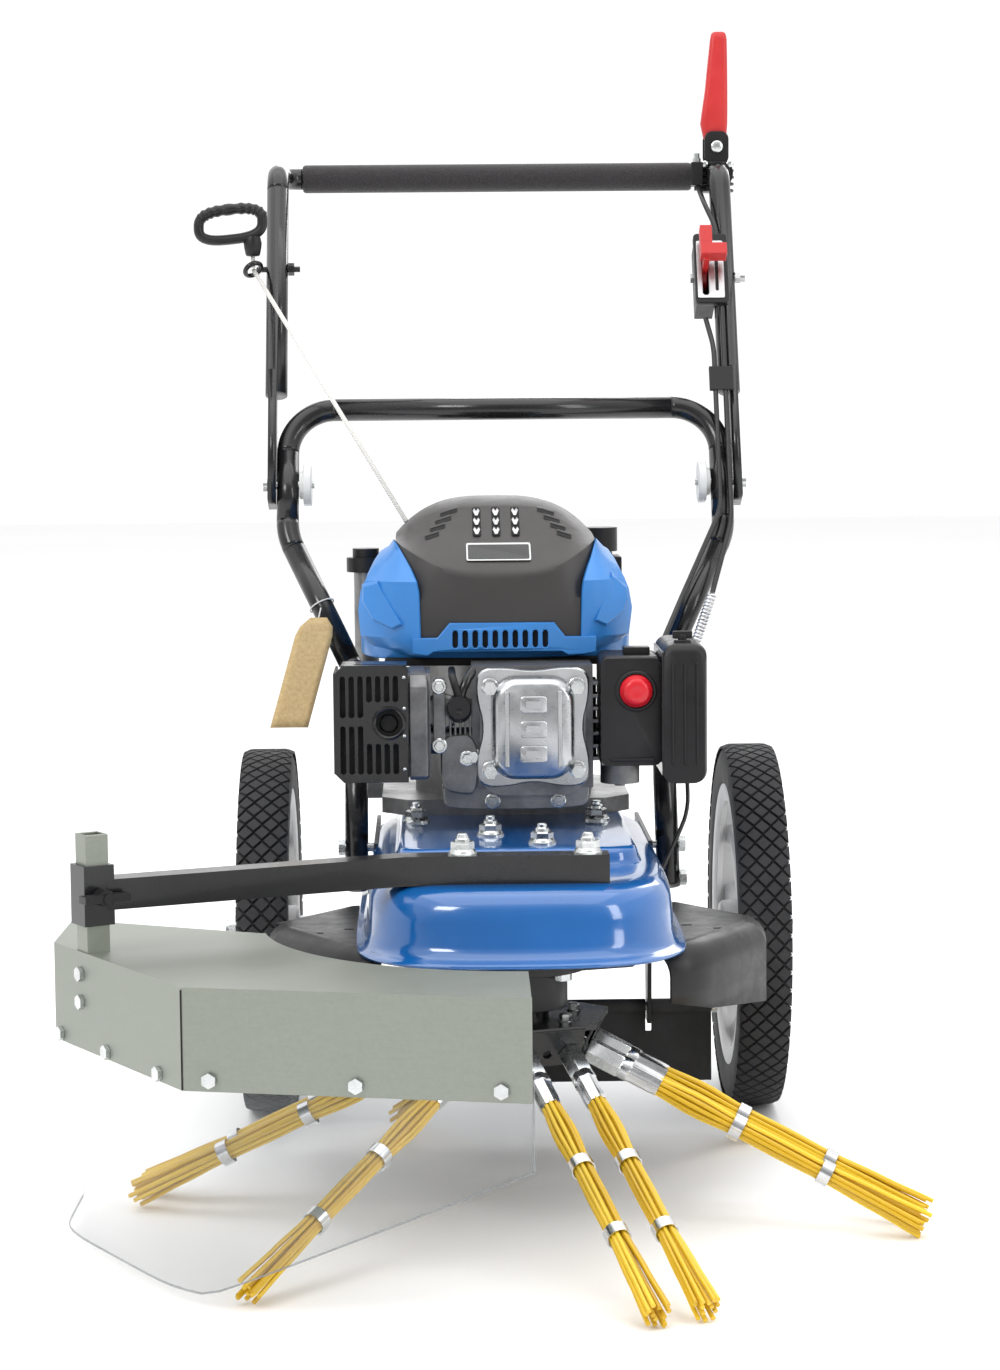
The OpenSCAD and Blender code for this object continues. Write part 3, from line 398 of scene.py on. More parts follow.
class Shape:
    """Points and faces gathered from several simple forms."""

    def __init__(self):
        self.points, self.faces = [], []

    def add(self, points, faces):
        base = len(self.points)
        self.points += [tuple(p) for p in points]
        self.faces += [[i + base for i in f] for f in faces]
        return self

    def loft(self, rings, cap_first=True, cap_last=True, closed=True):
        n = len(rings[0])
        points = [p for ring in rings for p in ring]
        faces = []
        for k in range(len(rings) - 1):
            for i in range(n if closed else n - 1):
                j = (i + 1) % n
                faces.append([k * n + i, k * n + j, (k + 1) * n + j, (k + 1) * n + i])
        if cap_first:
            faces.append(list(range(n))[::-1])
        if cap_last:
            faces.append([(len(rings) - 1) * n + i for i in range(n)])
        return self.add(points, faces)

    def box(self, low, high):
        (a, b, c), (d, e, f) = low, high
        ring = [(a, b), (d, b), (d, e), (a, e)]
        return self.loft([[(x, y, c) for x, y in ring], [(x, y, f) for x, y in ring]])

    def upright(self, x, y, profile, sides=24, foot=False):
        """A round form standing at x, y, from (height, radius) pairs."""
        return self.loft([[(u, v, z) for u, v in circle(x, y, r, sides)] for z, r in profile], foot, True)

    def facing(self, x, z, profile, sides=24, back=False):
        """A round form seen end on from the front, from (depth, radius) pairs."""
        return self.loft([[(u, y, v) for u, v in circle(x, z, r, sides)] for y, r in profile], back, True)

    def tube(self, path, radius, sides=10, cap=True):
        return self.loft(sweep(path, radius, sides), cap, cap)

    def turned(self, place):
        """Every point moved by a function."""
        self.points = [tuple(place(Vector(p))) for p in self.points]
        return self

    def forward(self, outline, sections, centre=(0, 0)):
        """An X and Z outline carried forward through (depth, scale about the centre) sections."""
        rings = [[(x, y, z) for x, z in scaled(outline, f, centre)] for y, f in sections]
        return self.loft(rings, False, True)

    def make(self, name, finish, body="chassis", stands_for=(), **kw):
        return piece(name, self.points, self.faces, finish, body, stands_for, **kw)


def block(name, finish, low, high, edges):
    """One box with rounded edges, on the chassis."""
    Shape().box(low, high).make(name, finish, edges=edges)


def sweep(path, radius, sides):
    """Rings of a round tube along a path, without twist."""
    path = [Vector(p) for p in path]
    rings = []
    side = None
    for i, p in enumerate(path):
        ahead = (path[min(i + 1, len(path) - 1)] - path[max(i - 1, 0)]).normalized()
        if side is None:
            side = ahead.orthogonal().normalized()
        side = (side - side.dot(ahead) * ahead).normalized()
        other = ahead.cross(side)
        rings.append([tuple(p + radius * (cos(t) * side + sin(t) * other)) for t in turns(sides)])
    return rings


def rounded(points, passes=3):
    """Corner cutting: an outline with soft corners."""
    for _ in range(passes):
        out = []
        for a, b in zip(points, [*points[1:], points[0]]):
            a, b = Vector(a), Vector(b)
            out += [tuple(a * 0.75 + b * 0.25), tuple(a * 0.25 + b * 0.75)]
        points = out
    return points


def round_box(w, h, r, steps=6):
    """Rounded rectangle about the origin."""
    out = []
    for cx, cy, start in ((w / 2 - r, h / 2 - r, 0), (r - w / 2, h / 2 - r, 90),
                          (r - w / 2, r - h / 2, 180), (w / 2 - r, r - h / 2, 270)):
        for k in range(steps + 1):
            t = radians(start + 90 * k / steps)
            out.append((cx + r * cos(t), cy + r * sin(t)))
    return out


def pressed(outline, holes, thickness, place, bevel=0.5):
    """A flat sheet with holes: place(u, v, w) gives a point, w running back from its front."""
    curve = bpy.data.curves.new("cut", "CURVE")
    curve.dimensions = "2D"
    curve.fill_mode = "BOTH"
    curve.extrude = thickness / 2 - bevel
    curve.bevel_depth = bevel
    curve.bevel_resolution = 1
    curve.offset = -bevel
    for loop in [outline, *holes]:
        spline = curve.splines.new("POLY")
        spline.points.add(len(loop) - 1)
        for point, (u, v) in zip(spline.points, loop):
            point.co = (u, v, 0, 1)
        spline.use_cyclic_u = True
    cut = bpy.data.objects.new("cut", curve)
    mesh = cut.to_mesh()
    points = [place(v.co.x, v.co.y, thickness / 2 - v.co.z) for v in mesh.vertices]
    faces = [list(f.vertices) for f in mesh.polygons]
    cut.to_mesh_clear()
    bpy.data.objects.remove(cut)
    bpy.data.curves.remove(curve)
    return points, faces


def slot_hole(u, v0, v1, width, steps=5):
    """Upright slot with round ends."""
    r = width / 2
    half_turn = turns(2 * steps)[:steps + 1]
    low = [(u - r * cos(t), v0 + r - r * sin(t)) for t in half_turn]
    return low + [(u + r * cos(t), v1 - r + r * sin(t)) for t in half_turn]


def turns(count, extra=0):
    """Angles that share a full turn between count steps."""
    return [2 * pi * k / count for k in range(count + extra)]


def circle(u, v, r, steps=28):
    return [(u + r * cos(t), v + r * sin(t)) for t in turns(steps)]


def scaled(outline, factor, centre=(0, 0)):
    return [(centre[0] + (x - centre[0]) * factor, centre[1] + (y - centre[1]) * factor)
            for x, y in outline]


# ---- wheels ---------------------------------------------------------------

TREAD_ROWS = 62
HALF_TREAD = 24
TYRE_STEPS = 2 * TREAD_ROWS
RIM_STEPS = 96
SPOKES = 10
SPOKE_HALVES = (11, 7)
GROOVE_R = WHEEL_R - 3.6


def tread_height(v):
    """Outer radius of the blocks, lower on the shoulders."""
    past = max(0.0, (abs(v) - 15) / 9)
    return WHEEL_R - 2.6 * past * past


def wheel_point(side, r, u, v):
    """A point at radius r, angle u and sideways place v of one wheel."""
    return (side * TRACK / 2 + v, r * cos(u), WHEEL_R + r * sin(u))


def tyre(side, name, node, body):
    """Carcass with rows of raised diamond blocks, set half a pitch apart."""
    left = [(138, -22), (141, -23.4), (148, -24), (160, -24), (167, -23.6), (171.5, -22), (GROOVE_R, -19)]
    profile = left + [(GROOVE_R, 0)] + [(r, -v) for r, v in left[::-1]]
    carcass = Shape()
    rings = [[wheel_point(side, r, u, v) for r, v in profile] for u in turns(TYRE_STEPS, 1)]
    carcass.loft(rings, False, False)
    pitch = 2 * pi / TREAD_ROWS
    half = 7.3
    diamond = [(-half, 0), (0, -half), (half, 0), (0, half)]
    for row in range(TREAD_ROWS):
        for shift, lanes in ((0, (-16, 0, 16)), (0.5, (-HALF_TREAD, -8, 8, HALF_TREAD))):
            u0 = (row + shift) * pitch
            for lane in lanes:
                outline = [(a, lane + b) for a, b in diamond if abs(lane + b) <= HALF_TREAD]
                rings = []
                for drop, grow in ((-1.2, 1.1), (1, 1.0), (3, 0.9)):
                    ring = []
                    for a, v in outline:
                        top = GROOVE_R if drop < 0 else tread_height(v) - (1 if drop < 2 else 0)
                        u = u0 + a * grow / WHEEL_R
                        ring.append(wheel_point(side, top + min(drop, 0), u, lane + (v - lane) * grow))
                    rings.append(ring)
                carcass.loft(rings, False, True)
    carcass.make(name, TYRE, body, [node], smooth_by=28)


def rim(side, name, node, body):
    """Moulded rim: bead, spokes of two widths, and a stepped hub."""
    shape = Shape()
    profile = [(121, -19), (124, -21.5), (132, -22.6), (138, -22.4), (139, -20), (139, 20),
               (138, 22.4), (132, 22.6), (124, 21.5), (121, 19), (123, 16), (127, 13), (127, -13), (123, -16)]
    shape.loft([[wheel_point(side, r, u, v) for r, v in profile] for u in turns(RIM_STEPS, 1)], False, False)
    for k, u in enumerate(turns(SPOKES)):
        wide = SPOKE_HALVES[k % 2]
        rings = []
        for r, spread, deep in ((20, 0.8, 9), (45, 0.75, 8), (85, 0.85, 7), (112, 1.15, 8), (129, 1.9, 12)):
            ring = []
            for a, v in round_box(2 * wide * spread, 2 * deep, 3, 3):
                ring.append((side * TRACK / 2 + v, r * cos(u) - a * sin(u),
                             WHEEL_R + r * sin(u) + a * cos(u)))
            rings.append(ring)
        shape.loft(rings)
    half_hub = [(8.1, -28), (20, -28), (23, -25), (24, -8), (30, -7)]
    hub = half_hub + [(r, -v) for r, v in half_hub[::-1]]
    shape.loft([[wheel_point(side, r, u, v) for r, v in hub] for u in turns(RIM_STEPS // 2, 1)], False, False)
    shape.make(name, RIM_GREY, body, [node], smooth_by=35)


for make_part, part, suffix in ((tyre, "tyre", "tread"), (rim, "rim", "spoked")):
    make_part(-1, f"{part}_left_{suffix}", f"{part}_left", "wheel_l")
    make_part(1, f"{part}_right_{suffix}", f"{part}_right", "wheel_r")

# ---- deck -----------------------------------------------------------------


def nose(w, f, b):
    """Plan of the deck at half width w, front f and back b."""
    return [(-w, b), (-w, (b + f) / 2), (-w, f + 95), (-w + 13, f + 50), (-w + 44, f + 15),
            (-w * 0.36, f + 2), (0, f), (w * 0.36, f + 2), (w - 44, f + 15), (w - 13, f + 50),
            (w, f + 95), (w, (b + f) / 2), (w, b)]


def deck_ring(w, f, b, z):
    return [(x, y, z) for x, y in rounded(nose(w, f, b))]


deck = Shape()
deck.loft([deck_ring(*r) for r in (
    (143, -498, 88, 228), (143.4, -498.5, 88.4, 230), (142, -497, 87, 231.6), (138.5, -490, 84, 232.6),
    (135.5, -484, 81.5, 236), (134, -480.5, 80, 244), (133, -479, 80, 262), (131.5, -477, 79, 274),
    (127.5, -472, 76, 282.5), (121, -464, 71, 287), (113, -455, 64, 288.6), (104, -446, 56, 289))],
    False, True)


def platform_ring(grow, z):
    outline = round_box(212 - 2 * grow, 405 - 2 * grow, max(6, 26 - grow), 6)
    return [(x, y - 127.5, z) for x, y in outline]


deck.loft([platform_ring(*r) for r in (
    (-5, 287.4), (-2.5, 289.5), (-0.6, 294), (0.4, 298.5), (2.6, 301.6), (6.5, 302.9), (14, 303))],
    False, True)
deck.make("deck_pressing", DECK_BLUE, stands_for=["deck"], thickness=2.6, smooth_by=60)

ARM_Y = -419.5
ARM_TOP = 313
PLATFORM_Z = 303
NUTS = [(-50, ARM_Y, ARM_TOP), (56, ARM_Y, ARM_TOP)] + [(x, y, PLATFORM_Z) for x, y in (
    (-23, -240), (22, -293), (-90, -146), (78, -146))]
# washer, flange, hexagon, collar and stud end: sides and (height, radius) pairs
NUT_PARTS = ((32, ((0, 12.4), (1.6, 12.4), (2, 11.8))),
             (32, ((2, 11.4), (3.2, 11), (5, 9.6))),
             (6, ((4, 10.1), (9.6, 10.1), (10.9, 8.8))),
             (24, ((10, 6.6), (13.4, 6.2), (14.6, 4.8))),
             (16, ((13, 4.4), (17.2, 4.4), (18, 3.6))))


def flange_nuts():
    """Flanged nuts with a washer and a turned stud end, over the deck's own fasteners."""
    shape = Shape()
    for x, y, z in NUTS:
        for sides, profile in NUT_PARTS:
            shape.upright(x, y, [(z + up, r) for up, r in profile], sides)
    shape.make("flange_nuts", ZINC, smooth_by=28)


flange_nuts()

# ---- engine covers --------------------------------------------------------

COVER_CENTRE = (-13.5, -38)
SHROUD_PLAN = rounded([
    (-141, -95), (-122, -138), (-84, -148), (-13, -150), (58, -148), (95, -138), (114, -95),
    (114, -40), (88, 40), (62, 88), (-66, 88), (-102, 40), (-141, -40)], 3)


def shroud_ring(z, factor):
    return [(x, y, z) for x, y in scaled(SHROUD_PLAN, factor, COVER_CENTRE)]


shroud = Shape()
shroud.loft([shroud_ring(*r) for r in (
    (455, 0.965), (455, 0.985), (457, 1.0), (475, 1.004), (496, 1.0), (514, 0.985), (530, 0.95),
    (543, 0.9), (552, 0.85), (556, 0.8), (556, 0.7))], False, True)
shroud.make("shroud_shell", SHROUD_BLUE, stands_for=["blue_shroud"], smooth_by=50)

# the hood is a row of sections across X, each running up its front and over its top
HOOD_MID, HOOD_HALF = -13.6, 93.4
HOOD_FRONT = -158
HOOD_CHEST = 528
CHEST_MID, CHEST_HALF = -10.5, 74.5
CORNER_BACK = 42


def hood_half(z):
    """Middle and half width of the hood's front at height z."""
    if z < HOOD_CHEST:
        return CHEST_MID, CHEST_HALF
    t = min(1, (z - HOOD_CHEST) / 34)
    return CHEST_MID + (HOOD_MID - CHEST_MID) * t, CHEST_HALF + (HOOD_HALF - CHEST_HALF) * t


def crease_z(t):
    """Height of the crease between the hood's front and top; t runs from -1 to 1 across it."""
    return 534 + 30 * abs(t) ** 3.4


def top_z(t):
    """Height of the hood's ridge at t."""
    return 602 - 34 * abs(t) ** 3.2


def corner_back(t, z):
    """How far the hood's upper corners stand back from its straight front."""
    return CORNER_BACK * abs(t) ** 5 * min(1.0, max(0.0, (z - HOOD_CHEST) / 36))


def hood_top(t):
    """Top of one section from the crease back, as (x, y, z)."""
    low, high = crease_z(t), top_z(t)
    bow = HOOD_FRONT - 5 * (1 - t * t)
    rise = ((bow + 0.5, 0), (bow + 4, 0.07), (-120, 0.4), (-92, 0.68), (-66, 0.88), (-44, 0.97), (-20, 1),
            (8, 0.995))
    points = [(y, low + f * (high - low)) for y, f in rise]
    points += [(36, high - 6), (60, high - 18), (76, min(562, high - 24)), (84, min(548, high - 30)),
               (86, 532)]
    out = []
    for y, z in points:
        narrow = 1 - 0.31 * max(0.0, (y + 30) / 116) ** 2
        middle, half = hood_half(z) if y < -140 else (HOOD_MID, HOOD_HALF)
        y += corner_back(t, z) * max(0.0, 1 - (y - bow) / 120)
        out.append((middle + t * half * narrow, y, min(z, high)))
    return out


def hood_section(t):
    """One section of the hood, from the foot of its front to the back of its top."""
    front = []
    for z, push in ((474, 3), (476, 0.5), (490, 0), (512, -0.6), (crease_z(t) - 5, -0.4)):
        middle, half = hood_half(z)
        front.append((middle + t * half, HOOD_FRONT - 5 * (1 - t * t) + push + corner_back(t, z), z))
    return front + hood_top(t)


def hood_skin(x, z):
    """Depth of the hood's skin in front of a point."""
    t = (x - HOOD_MID) / HOOD_HALF
    path = hood_top(t)
    for (_, y0, z0), (_, y1, z1) in zip(path, path[1:]):
        if z0 <= z <= z1:
            return y0 + (y1 - y0) * (z - z0) / (z1 - z0)
    return path[0][1] if z < path[0][2] else path[6][1]


hood = Shape()
sections = [hood_section(-1 + k / 20) for k in range(41)]
flank = [[(x + side * 1.5, y + 3, min(z, 540)) for x, y, z in section]
         for side, section in ((1, sections[0]), (-1, sections[-1]))]
hood.loft([flank[0], *sections, flank[1]], False, False, closed=False)
hood.make("hood_dome", HOOD_PLASTIC, stands_for=["top_cover"], smooth_by=34)


def middle_of(outline):
    """Mean of an outline's points."""
    return tuple(sum(p[i] for p in outline) / len(outline) for i in (0, 1))


def on_hood(shape, outline, lifts):
    """A plate of an X and Z outline laid on the hood: lifts of (rise off the skin, scale)."""
    shape.loft([[(x, hood_skin(x, z) - rise, z) for x, z in scaled(outline, f, middle_of(outline))]
                for rise, f in lifts], False, True)


def moved(outline, x, z, lean=0.0):
    """An outline turned by lean and set down at x, z."""
    return [(x + a * cos(lean) - b * sin(lean), z + a * sin(lean) + b * cos(lean))
            for a, b in outline]


# three upright louvre stacks, each over a black plate that is painted shade in its recess
LOUVRES = (-30.6, -12.4, 5.8)
CHEVRON = [(-3.3, 1.2), (-1.2, -3), (1.2, -3), (3.3, 1.2), (1.8, 3.4), (0, 0.8), (-1.8, 3.4)]
recesses, slats = Shape(), Shape()
for vent_x in LOUVRES:
    on_hood(recesses, moved(round_box(8, 25, 2), vent_x, 580.5), ((-2, 1), (2.2, 1), (2.5, 0.95)))
    for j in range(3):
        z = 572.2 + 8.3 * j
        on_hood(slats, moved(CHEVRON, vent_x, z), ((0, 1), (3.2, 1), (3.6, 0.9)))
recesses.make("louvre_shade_plates", PAINTED_SHADE, smooth_by=40)
slats.make("louvre_slats", BARE_STEEL, smooth_by=30)

# stepped vents on both sides of the hood: black plates as painted shade in the openings, with lips above them
vents, lips = Shape(), Shape()
for side in (-1, 1):
    for j in range(4):
        x = HOOD_MID + 3 + side * (46 + 5.4 * j)
        z = 588 - 6.8 * j
        on_hood(vents, moved(round_box(17 - j, 3.4, 1.2, 3), x, z, -side * 0.3), ((-2, 1), (0.6, 1)))
        on_hood(lips, moved(round_box(17 - j, 1.6, 0.7, 2), x, z + 2.6, -side * 0.3),
                ((-1, 1), (1.3, 1), (1.6, 0.9)))
vents.make("side_vent_shade", PAINTED_SHADE, smooth_by=40)
lips.make("side_vent_lips", HOOD_PLASTIC, smooth_by=30)

# blank badge plate with a pale border
BADGE = (-11, 554)
border, plate = Shape(), Shape()
on_hood(border, moved(round_box(60, 15, 1.5, 3), *BADGE), ((-1, 1), (3, 1), (3.4, 0.985)))
border.make("badge_border", PALE_PLASTIC, smooth_by=40)
on_hood(plate, moved(round_box(57, 12.4, 1, 3), *BADGE), ((1, 1), (3.8, 1), (4, 0.985)))
plate.make("badge_plate", GLOSS_BLACK, smooth_by=40)

# blue cheeks: rows of (height, inner edge, outer edge)
CHEEK = {
    -1: ((459.7, -77, -110), (466, -81, -128), (476, -84, -140.5), (500, -84.5, -142.5), (518, -85, -140),
         (528, -87, -135.5), (540, -92.5, -128), (548, -97, -122), (556, -102, -115), (564, -107.5, -109)),
    1: ((459, 52, 82), (466, 57, 98), (476, 64, 111), (500, 64.5, 114), (518, 65, 111), (528, 66.5, 107),
        (540, 71, 101), (548, 74.5, 96), (556, 77.5, 89), (564, 80.5, 82))}


def cheek_row(side, z):
    """Inner and outer edge of one cheek at height z."""
    rows = CHEEK[side]
    for (z0, a0, b0), (z1, a1, b1) in zip(rows, rows[1:]):
        if z <= z1:
            f = (z - z0) / (z1 - z0)
            return a0 + (a1 - a0) * f, b0 + (b1 - b0) * f
    return rows[-1][1:]


def cheek_skin(side, x, z):
    """Depth of one cheek's skin at x, z."""
    inner, outer = cheek_row(side, z)
    s = min(1.0, max(0.0, (x - inner) / (outer - inner)))
    return -162 + 38 * s ** 2.2 + corner_back(1, z)


def cheek(side):
    """Blue cheek beside the hood, with its raised wing."""
    shape = Shape()
    rings = []
    for z, inner, outer in CHEEK[side]:
        ring = [(inner, -150 + corner_back(1, z), z)]
        for s in (0, 0.02, 0.06, 0.2, 0.4, 0.6, 0.8, 0.94, 1):
            x = inner + s * (outer - inner)
            soft = 1.6 if s == 0 else 0
            ring.append((x, cheek_skin(side, x, z) + soft, z))
        back = max(0.0, z - 520)
        ring.append((outer - side * (2 + 0.5 * back), max(-84, ring[-1][1] + 14), z - 0.55 * back))
        rings.append(ring)
    shape.loft(rings, False, False, closed=False)
    tip = rings[0]
    shape.add(tip, [list(range(len(tip)))])
    wing = [(-138, 523), (-124, 527.5), (-101.5, 489), (-110, 484.5), (-128.8, 492.6), (-138.5, 509)]
    if side > 0:
        wing = [(108.5, 520), (94, 533), (77.5, 491), (88, 486), (104, 497), (109.5, 508)]
    shape.loft([[(x, cheek_skin(side, x, z) - lift, z) for x, z in scaled(wing, f, middle_of(wing))]
                for lift, f in ((-2, 1.06), (3.2, 1.0), (4.2, 0.93))], False, True)
    name = "shroud_cheek_left" if side < 0 else "shroud_cheek_right"
    shape.make(name, SHROUD_BLUE, edges=1.2, smooth_by=24)


for cheek_side in (-1, 1):
    cheek(cheek_side)


def front_bow(x, y):
    """The gentle bow of the grille frame about depth y."""
    t = (x + 10) / 80
    return y - 4 * (1 - t * t)


# blue grille frame with its row of slots, and a black block behind them as painted shade
FRAME_EDGE = [(-92, 462), (-78, 459.7), (-72, 463.5), (46, 463), (52, 459.5), (66, 460), (78, 462),
              (78, 476.4), (49.5, 476.6), (39.2, 489.8), (-57.5, 490), (-68.8, 476.4), (-92, 476)]
GRILLE_SLOTS = [slot_hole(-52.4 + 9.25 * k, 466.6, 483.2, 5, 3) for k in range(10)]
Shape().add(*pressed(FRAME_EDGE, GRILLE_SLOTS, 6,
                     lambda u, v, w: (u, front_bow(u, -164.5) + w, v), 0.9)).make(
    "grille_frame", SHROUD_BLUE, smooth_by=40)
block("grille_painted_shade", PAINTED_SHADE, (-60, -163, 463.5), (40, -158, 486), 0.6)
# black block under the shroud's front, painted shade
block("shroud_underside_shade", PAINTED_SHADE, (-118, -150, 449), (92, -60, 456.5), 2)

# ---- cylinder head --------------------------------------------------------

COVER = (17, 398.5)
HEAD = (17, 392)
flange_plan = rounded([(-50, -53), (-28, -55), (0, -49), (28, -55), (50, -53), (52, -30), (44, 0), (52, 30),
                       (50, 53), (28, 55), (0, 51), (-28, 55), (-50, 53), (-52, 30), (-44, 0), (-52, -30)], 2)
Shape().forward(moved(flange_plan, *COVER), ((-212.2, 1), (-219, 1), (-221, 0.975)), COVER).make(
    "valve_cover_flange", COVER_ALLOY, stands_for=["valve_cover"], smooth_by=35)
Shape().forward(moved(round_box(96, 112, 20), *HEAD), ((-204, 1), (-216, 1)), HEAD).make(
    "valve_cover_skirt", ENGINE_ALLOY, smooth_by=35)
DOME = ((-219, 1.0), (-226, 0.995), (-232, 0.97), (-236.5, 0.92), (-239, 0.85))
Shape().forward(moved(round_box(76, 94, 22, 8), *COVER), DOME, COVER).make(
    "valve_cover_dome", COVER_ALLOY, smooth_by=50)
cover_ribs = Shape()
for x in (-24, 24):
    cover_ribs.box((COVER[0] + x - 2, -240.4, 364), (COVER[0] + x + 2, -238, 433))
cover_ribs.make("valve_cover_ribs", COVER_ALLOY, edges=0.9)
bars = Shape()
for rise in (-22.5, 0, 22.5):
    centre = (COVER[0], COVER[1] + rise)
    bars.forward(moved(round_box(24, 15, 3, 4), *centre), ((-238.5, 1), (-240.6, 1), (-241.2, 0.93)), centre)
    bars.forward(moved(round_box(15, 7, 2, 4), *centre), ((-241.0, 1), (-242.0, 0.95)), centre)
bars.make("valve_cover_bars", COVER_ALLOY, smooth_by=35)


def bolt_head(shape, centre, across, height):
    """Flange bolt facing forward."""
    x, y, z = centre
    for r, y0, y1, sides in ((across * 0.82, 0, 1.4, 24), (across * 0.577, 1.2, height, 6)):
        profile = [(y - out, r * f) for out, f in ((y0, 1), (y1 - 0.6, 1), (y1, 0.88))]
        shape.facing(x, z, profile, sides)


head_bolts = Shape()
for bx, bz in ((-22, 436), (57, 436), (-22, 360), (57, 360)):
    bolt_head(head_bolts, (bx, -221, bz), 9.5, 7)
bolt_head(head_bolts, (-38, -212, 371), 10, 7)
head_bolts.make("cover_bolts", ZINC, smooth_by=35)

# ---- muffler guard --------------------------------------------------------

CAGE_EDGE = [(-163, 362), (-154, 353), (-96, 353), (-96, 455.5), (-101, 459), (-154, 459), (-163, 451)]
CAGE_Y = -250
OUTLET = (-113, 407)


def cage_holes():
    """Two rows of upright slots that make room for the round outlet."""
    holes = [circle(*OUTLET, 12.5)]
    for k in range(7):
        u = -154.6 + 7.9 * k
        near = abs(u - OUTLET[0]) < 19
        holes.append(slot_hole(u, 426 if near else 412, 449, 4.6))
        holes.append(slot_hole(u, 361, 388 if near else 404, 4.6))
    return holes


def muffler_cage():
    """Slotted front, flank and top of the guard, with the outlet's rolled lip."""
    shape = Shape()
    shape.add(*pressed(CAGE_EDGE, cage_holes(), 2.4, lambda u, v, w: (u, CAGE_Y + w, v), 0.7))
    flank = [(CAGE_Y + 2, 361), (-172, 361), (-172, 452), (CAGE_Y + 2, 452)]
    slots = [slot_hole(CAGE_Y + 12 + 9.2 * k, z0, z1, 4.8)
             for k in range(7) for z0, z1 in ((366, 402), (411, 447))]
    shape.add(*pressed(flank, slots, 2.4, lambda u, v, w: (-163 + w, u, v), 0.6))
    top = [(-156, CAGE_Y + 1.5), (-97, CAGE_Y + 1.5), (-97, -205), (-156, -205)]
    wide = moved(round_box(42, 7, 3.2), -124, CAGE_Y + 12)
    shape.add(*pressed(top, [wide], 2, lambda u, v, w: (u, v, 459 - w), 0.5))
    lip = ((12.6, 4), (12.2, -1), (13.2, -1.8), (15, -1.2), (15.6, 0.5))
    shape.loft([[(u, CAGE_Y + y, v) for u, v in circle(*OUTLET, r, 36)] for r, y in lip], False, False)
    shape.make("muffler_cage", GLOSS_BLACK, stands_for=["muffler_guard"], smooth_by=35)


muffler_cage()
block("muffler_cage_shade", PAINTED_SHADE, (-159, CAGE_Y + 7, 357), (-98, CAGE_Y + 12, 455), 1)
spots = Shape()
for u, v in ((-99.5, 448), (-99.5, 420), (-99.5, 395), (-99.5, 365)):
    spots.facing(u, v, ((CAGE_Y - 0.2, 1.5), (CAGE_Y - 0.7, 1.1)), 12)
spots.make("muffler_cage_spots", ZINC, smooth_by=60)
shell = Shape()
shell.loft([[(x, y, z) for x, y in ((-95, front), (-79 - lip, front), (-77 - lip, front + 4),
                                    (-77 - lip, -176), (-95, -176))]
            for z, front, lip in ((354, -240, 2), (357, -243, 0), (438, -243, 0), (449, -236, 1),
                                  (452, -228, 4))])
shell.make("muffler_shell", MUFFLER_STEEL, edges=1.2, smooth_by=40)

# ---- cast parts between muffler and cylinder head -------------------------


def cast_details():
    """Castings, fins and bolts round the head, and the plug's boot with its lead."""
    shape = Shape()
    # exhaust flange, its boss and the gasket's edge
    shape.loft([[(x, y, z) for x, z in moved(round_box(11, 68, 4), -68, 409)] for y in (-216, -203)][::-1])
    shape.facing(-66, 412, ((-200, 17), (-209, 17), (-212, 14)))
    # cast cover with a rounded corner, below the plug
    cover = rounded([(-67, 342), (-67, 384), (-60, 392), (-33, 392), (-33, 337), (-50, 337)], 2)
    shape.forward(cover, ((-200, 1), (-213, 1), (-215, 0.95)), (-50, 364))
    # upright fins beside the plug
    for k in range(7):
        x = -59 + 4.5 * k
        shape.box((x, -214 + 0.6 * k, 389), (x + 2, -198, 410 - 0.5 * k))
    # level fins right of the head, and the sump front below it
    for k in range(7):
        z = 366 + 11.5 * k
        shape.box((62, -208, z), (77.5, -185, z + 3.4))
    sump = rounded([(-60, 322), (-66, 330), (-66, 350), (70, 350), (70, 330), (60, 322)], 2)
    shape.forward(sump, ((-180, 1), (-206, 1), (-210, 0.97)), (2, 336))
    shape.box((-38, -210, 442), (40, -190, 452))
    shape.make("cast_details", ENGINE_ALLOY, edges=0.7, smooth_by=40)
    block("fin_shade", PAINTED_SHADE, (63, -186, 364), (76.5, -176, 440), 1)
    bolts = Shape()
    for x, y, z in ((-68, -216, 436), (-68, -216, 382), (-43, -215, 370), (-20, -210, 330), (40, -210, 330)):
        bolt_head(bolts, (x, y, z), 8.6, 6)
    bolts.make("cast_bolts", ZINC, smooth_by=35)
    boot = Shape()
    boot.facing(-50, 415, ((-206, 7), (-210, 10), (-217, 12), (-224, 11.4), (-230, 8.4), (-233, 6), (-234, 3),
                           (-234, 0.6)))
    boot.tube([(-50, -218, 420), (-47, -219, 432), (-42, -216, 443), (-36, -208, 451)], 4.2, 14)
    boot.make("plug_boot", GLOSS_BLACK, smooth_by=50)


cast_details()

# ---- air filter and primer ------------------------------------------------

HOUSING = (78, 364)
LID = (133.5, 349)
Shape().forward(moved(round_box(55.5, 99, 7), HOUSING[0] + 28, HOUSING[1] + 49.5),
                ((-160, 1), (-232, 1), (-234.5, 0.985), (-235, 0.96)), HOUSING).make(
    "filter_housing", BLACK_PLASTIC, stands_for=["filter_base"], smooth_by=45)
Shape().forward(moved(round_box(40, 126, 11), LID[0] + 20, LID[1] + 63),
                ((-140, 0.97), (-143, 1), (-240, 1), (-245, 0.985), (-248, 0.94)), LID).make(
    "filter_lid", BLACK_PLASTIC, stands_for=["filter_cover"], smooth_by=45)
ribs = Shape()
for k in range(3):
    ribs.box((141 + 11 * k, -249.2, 366), (143.4 + 11 * k, -246.5, 458))
ribs.box((86, -236.4, 368), (126, -234.4, 371))
ribs.box((100, -214, 461), (124, -196, 470))
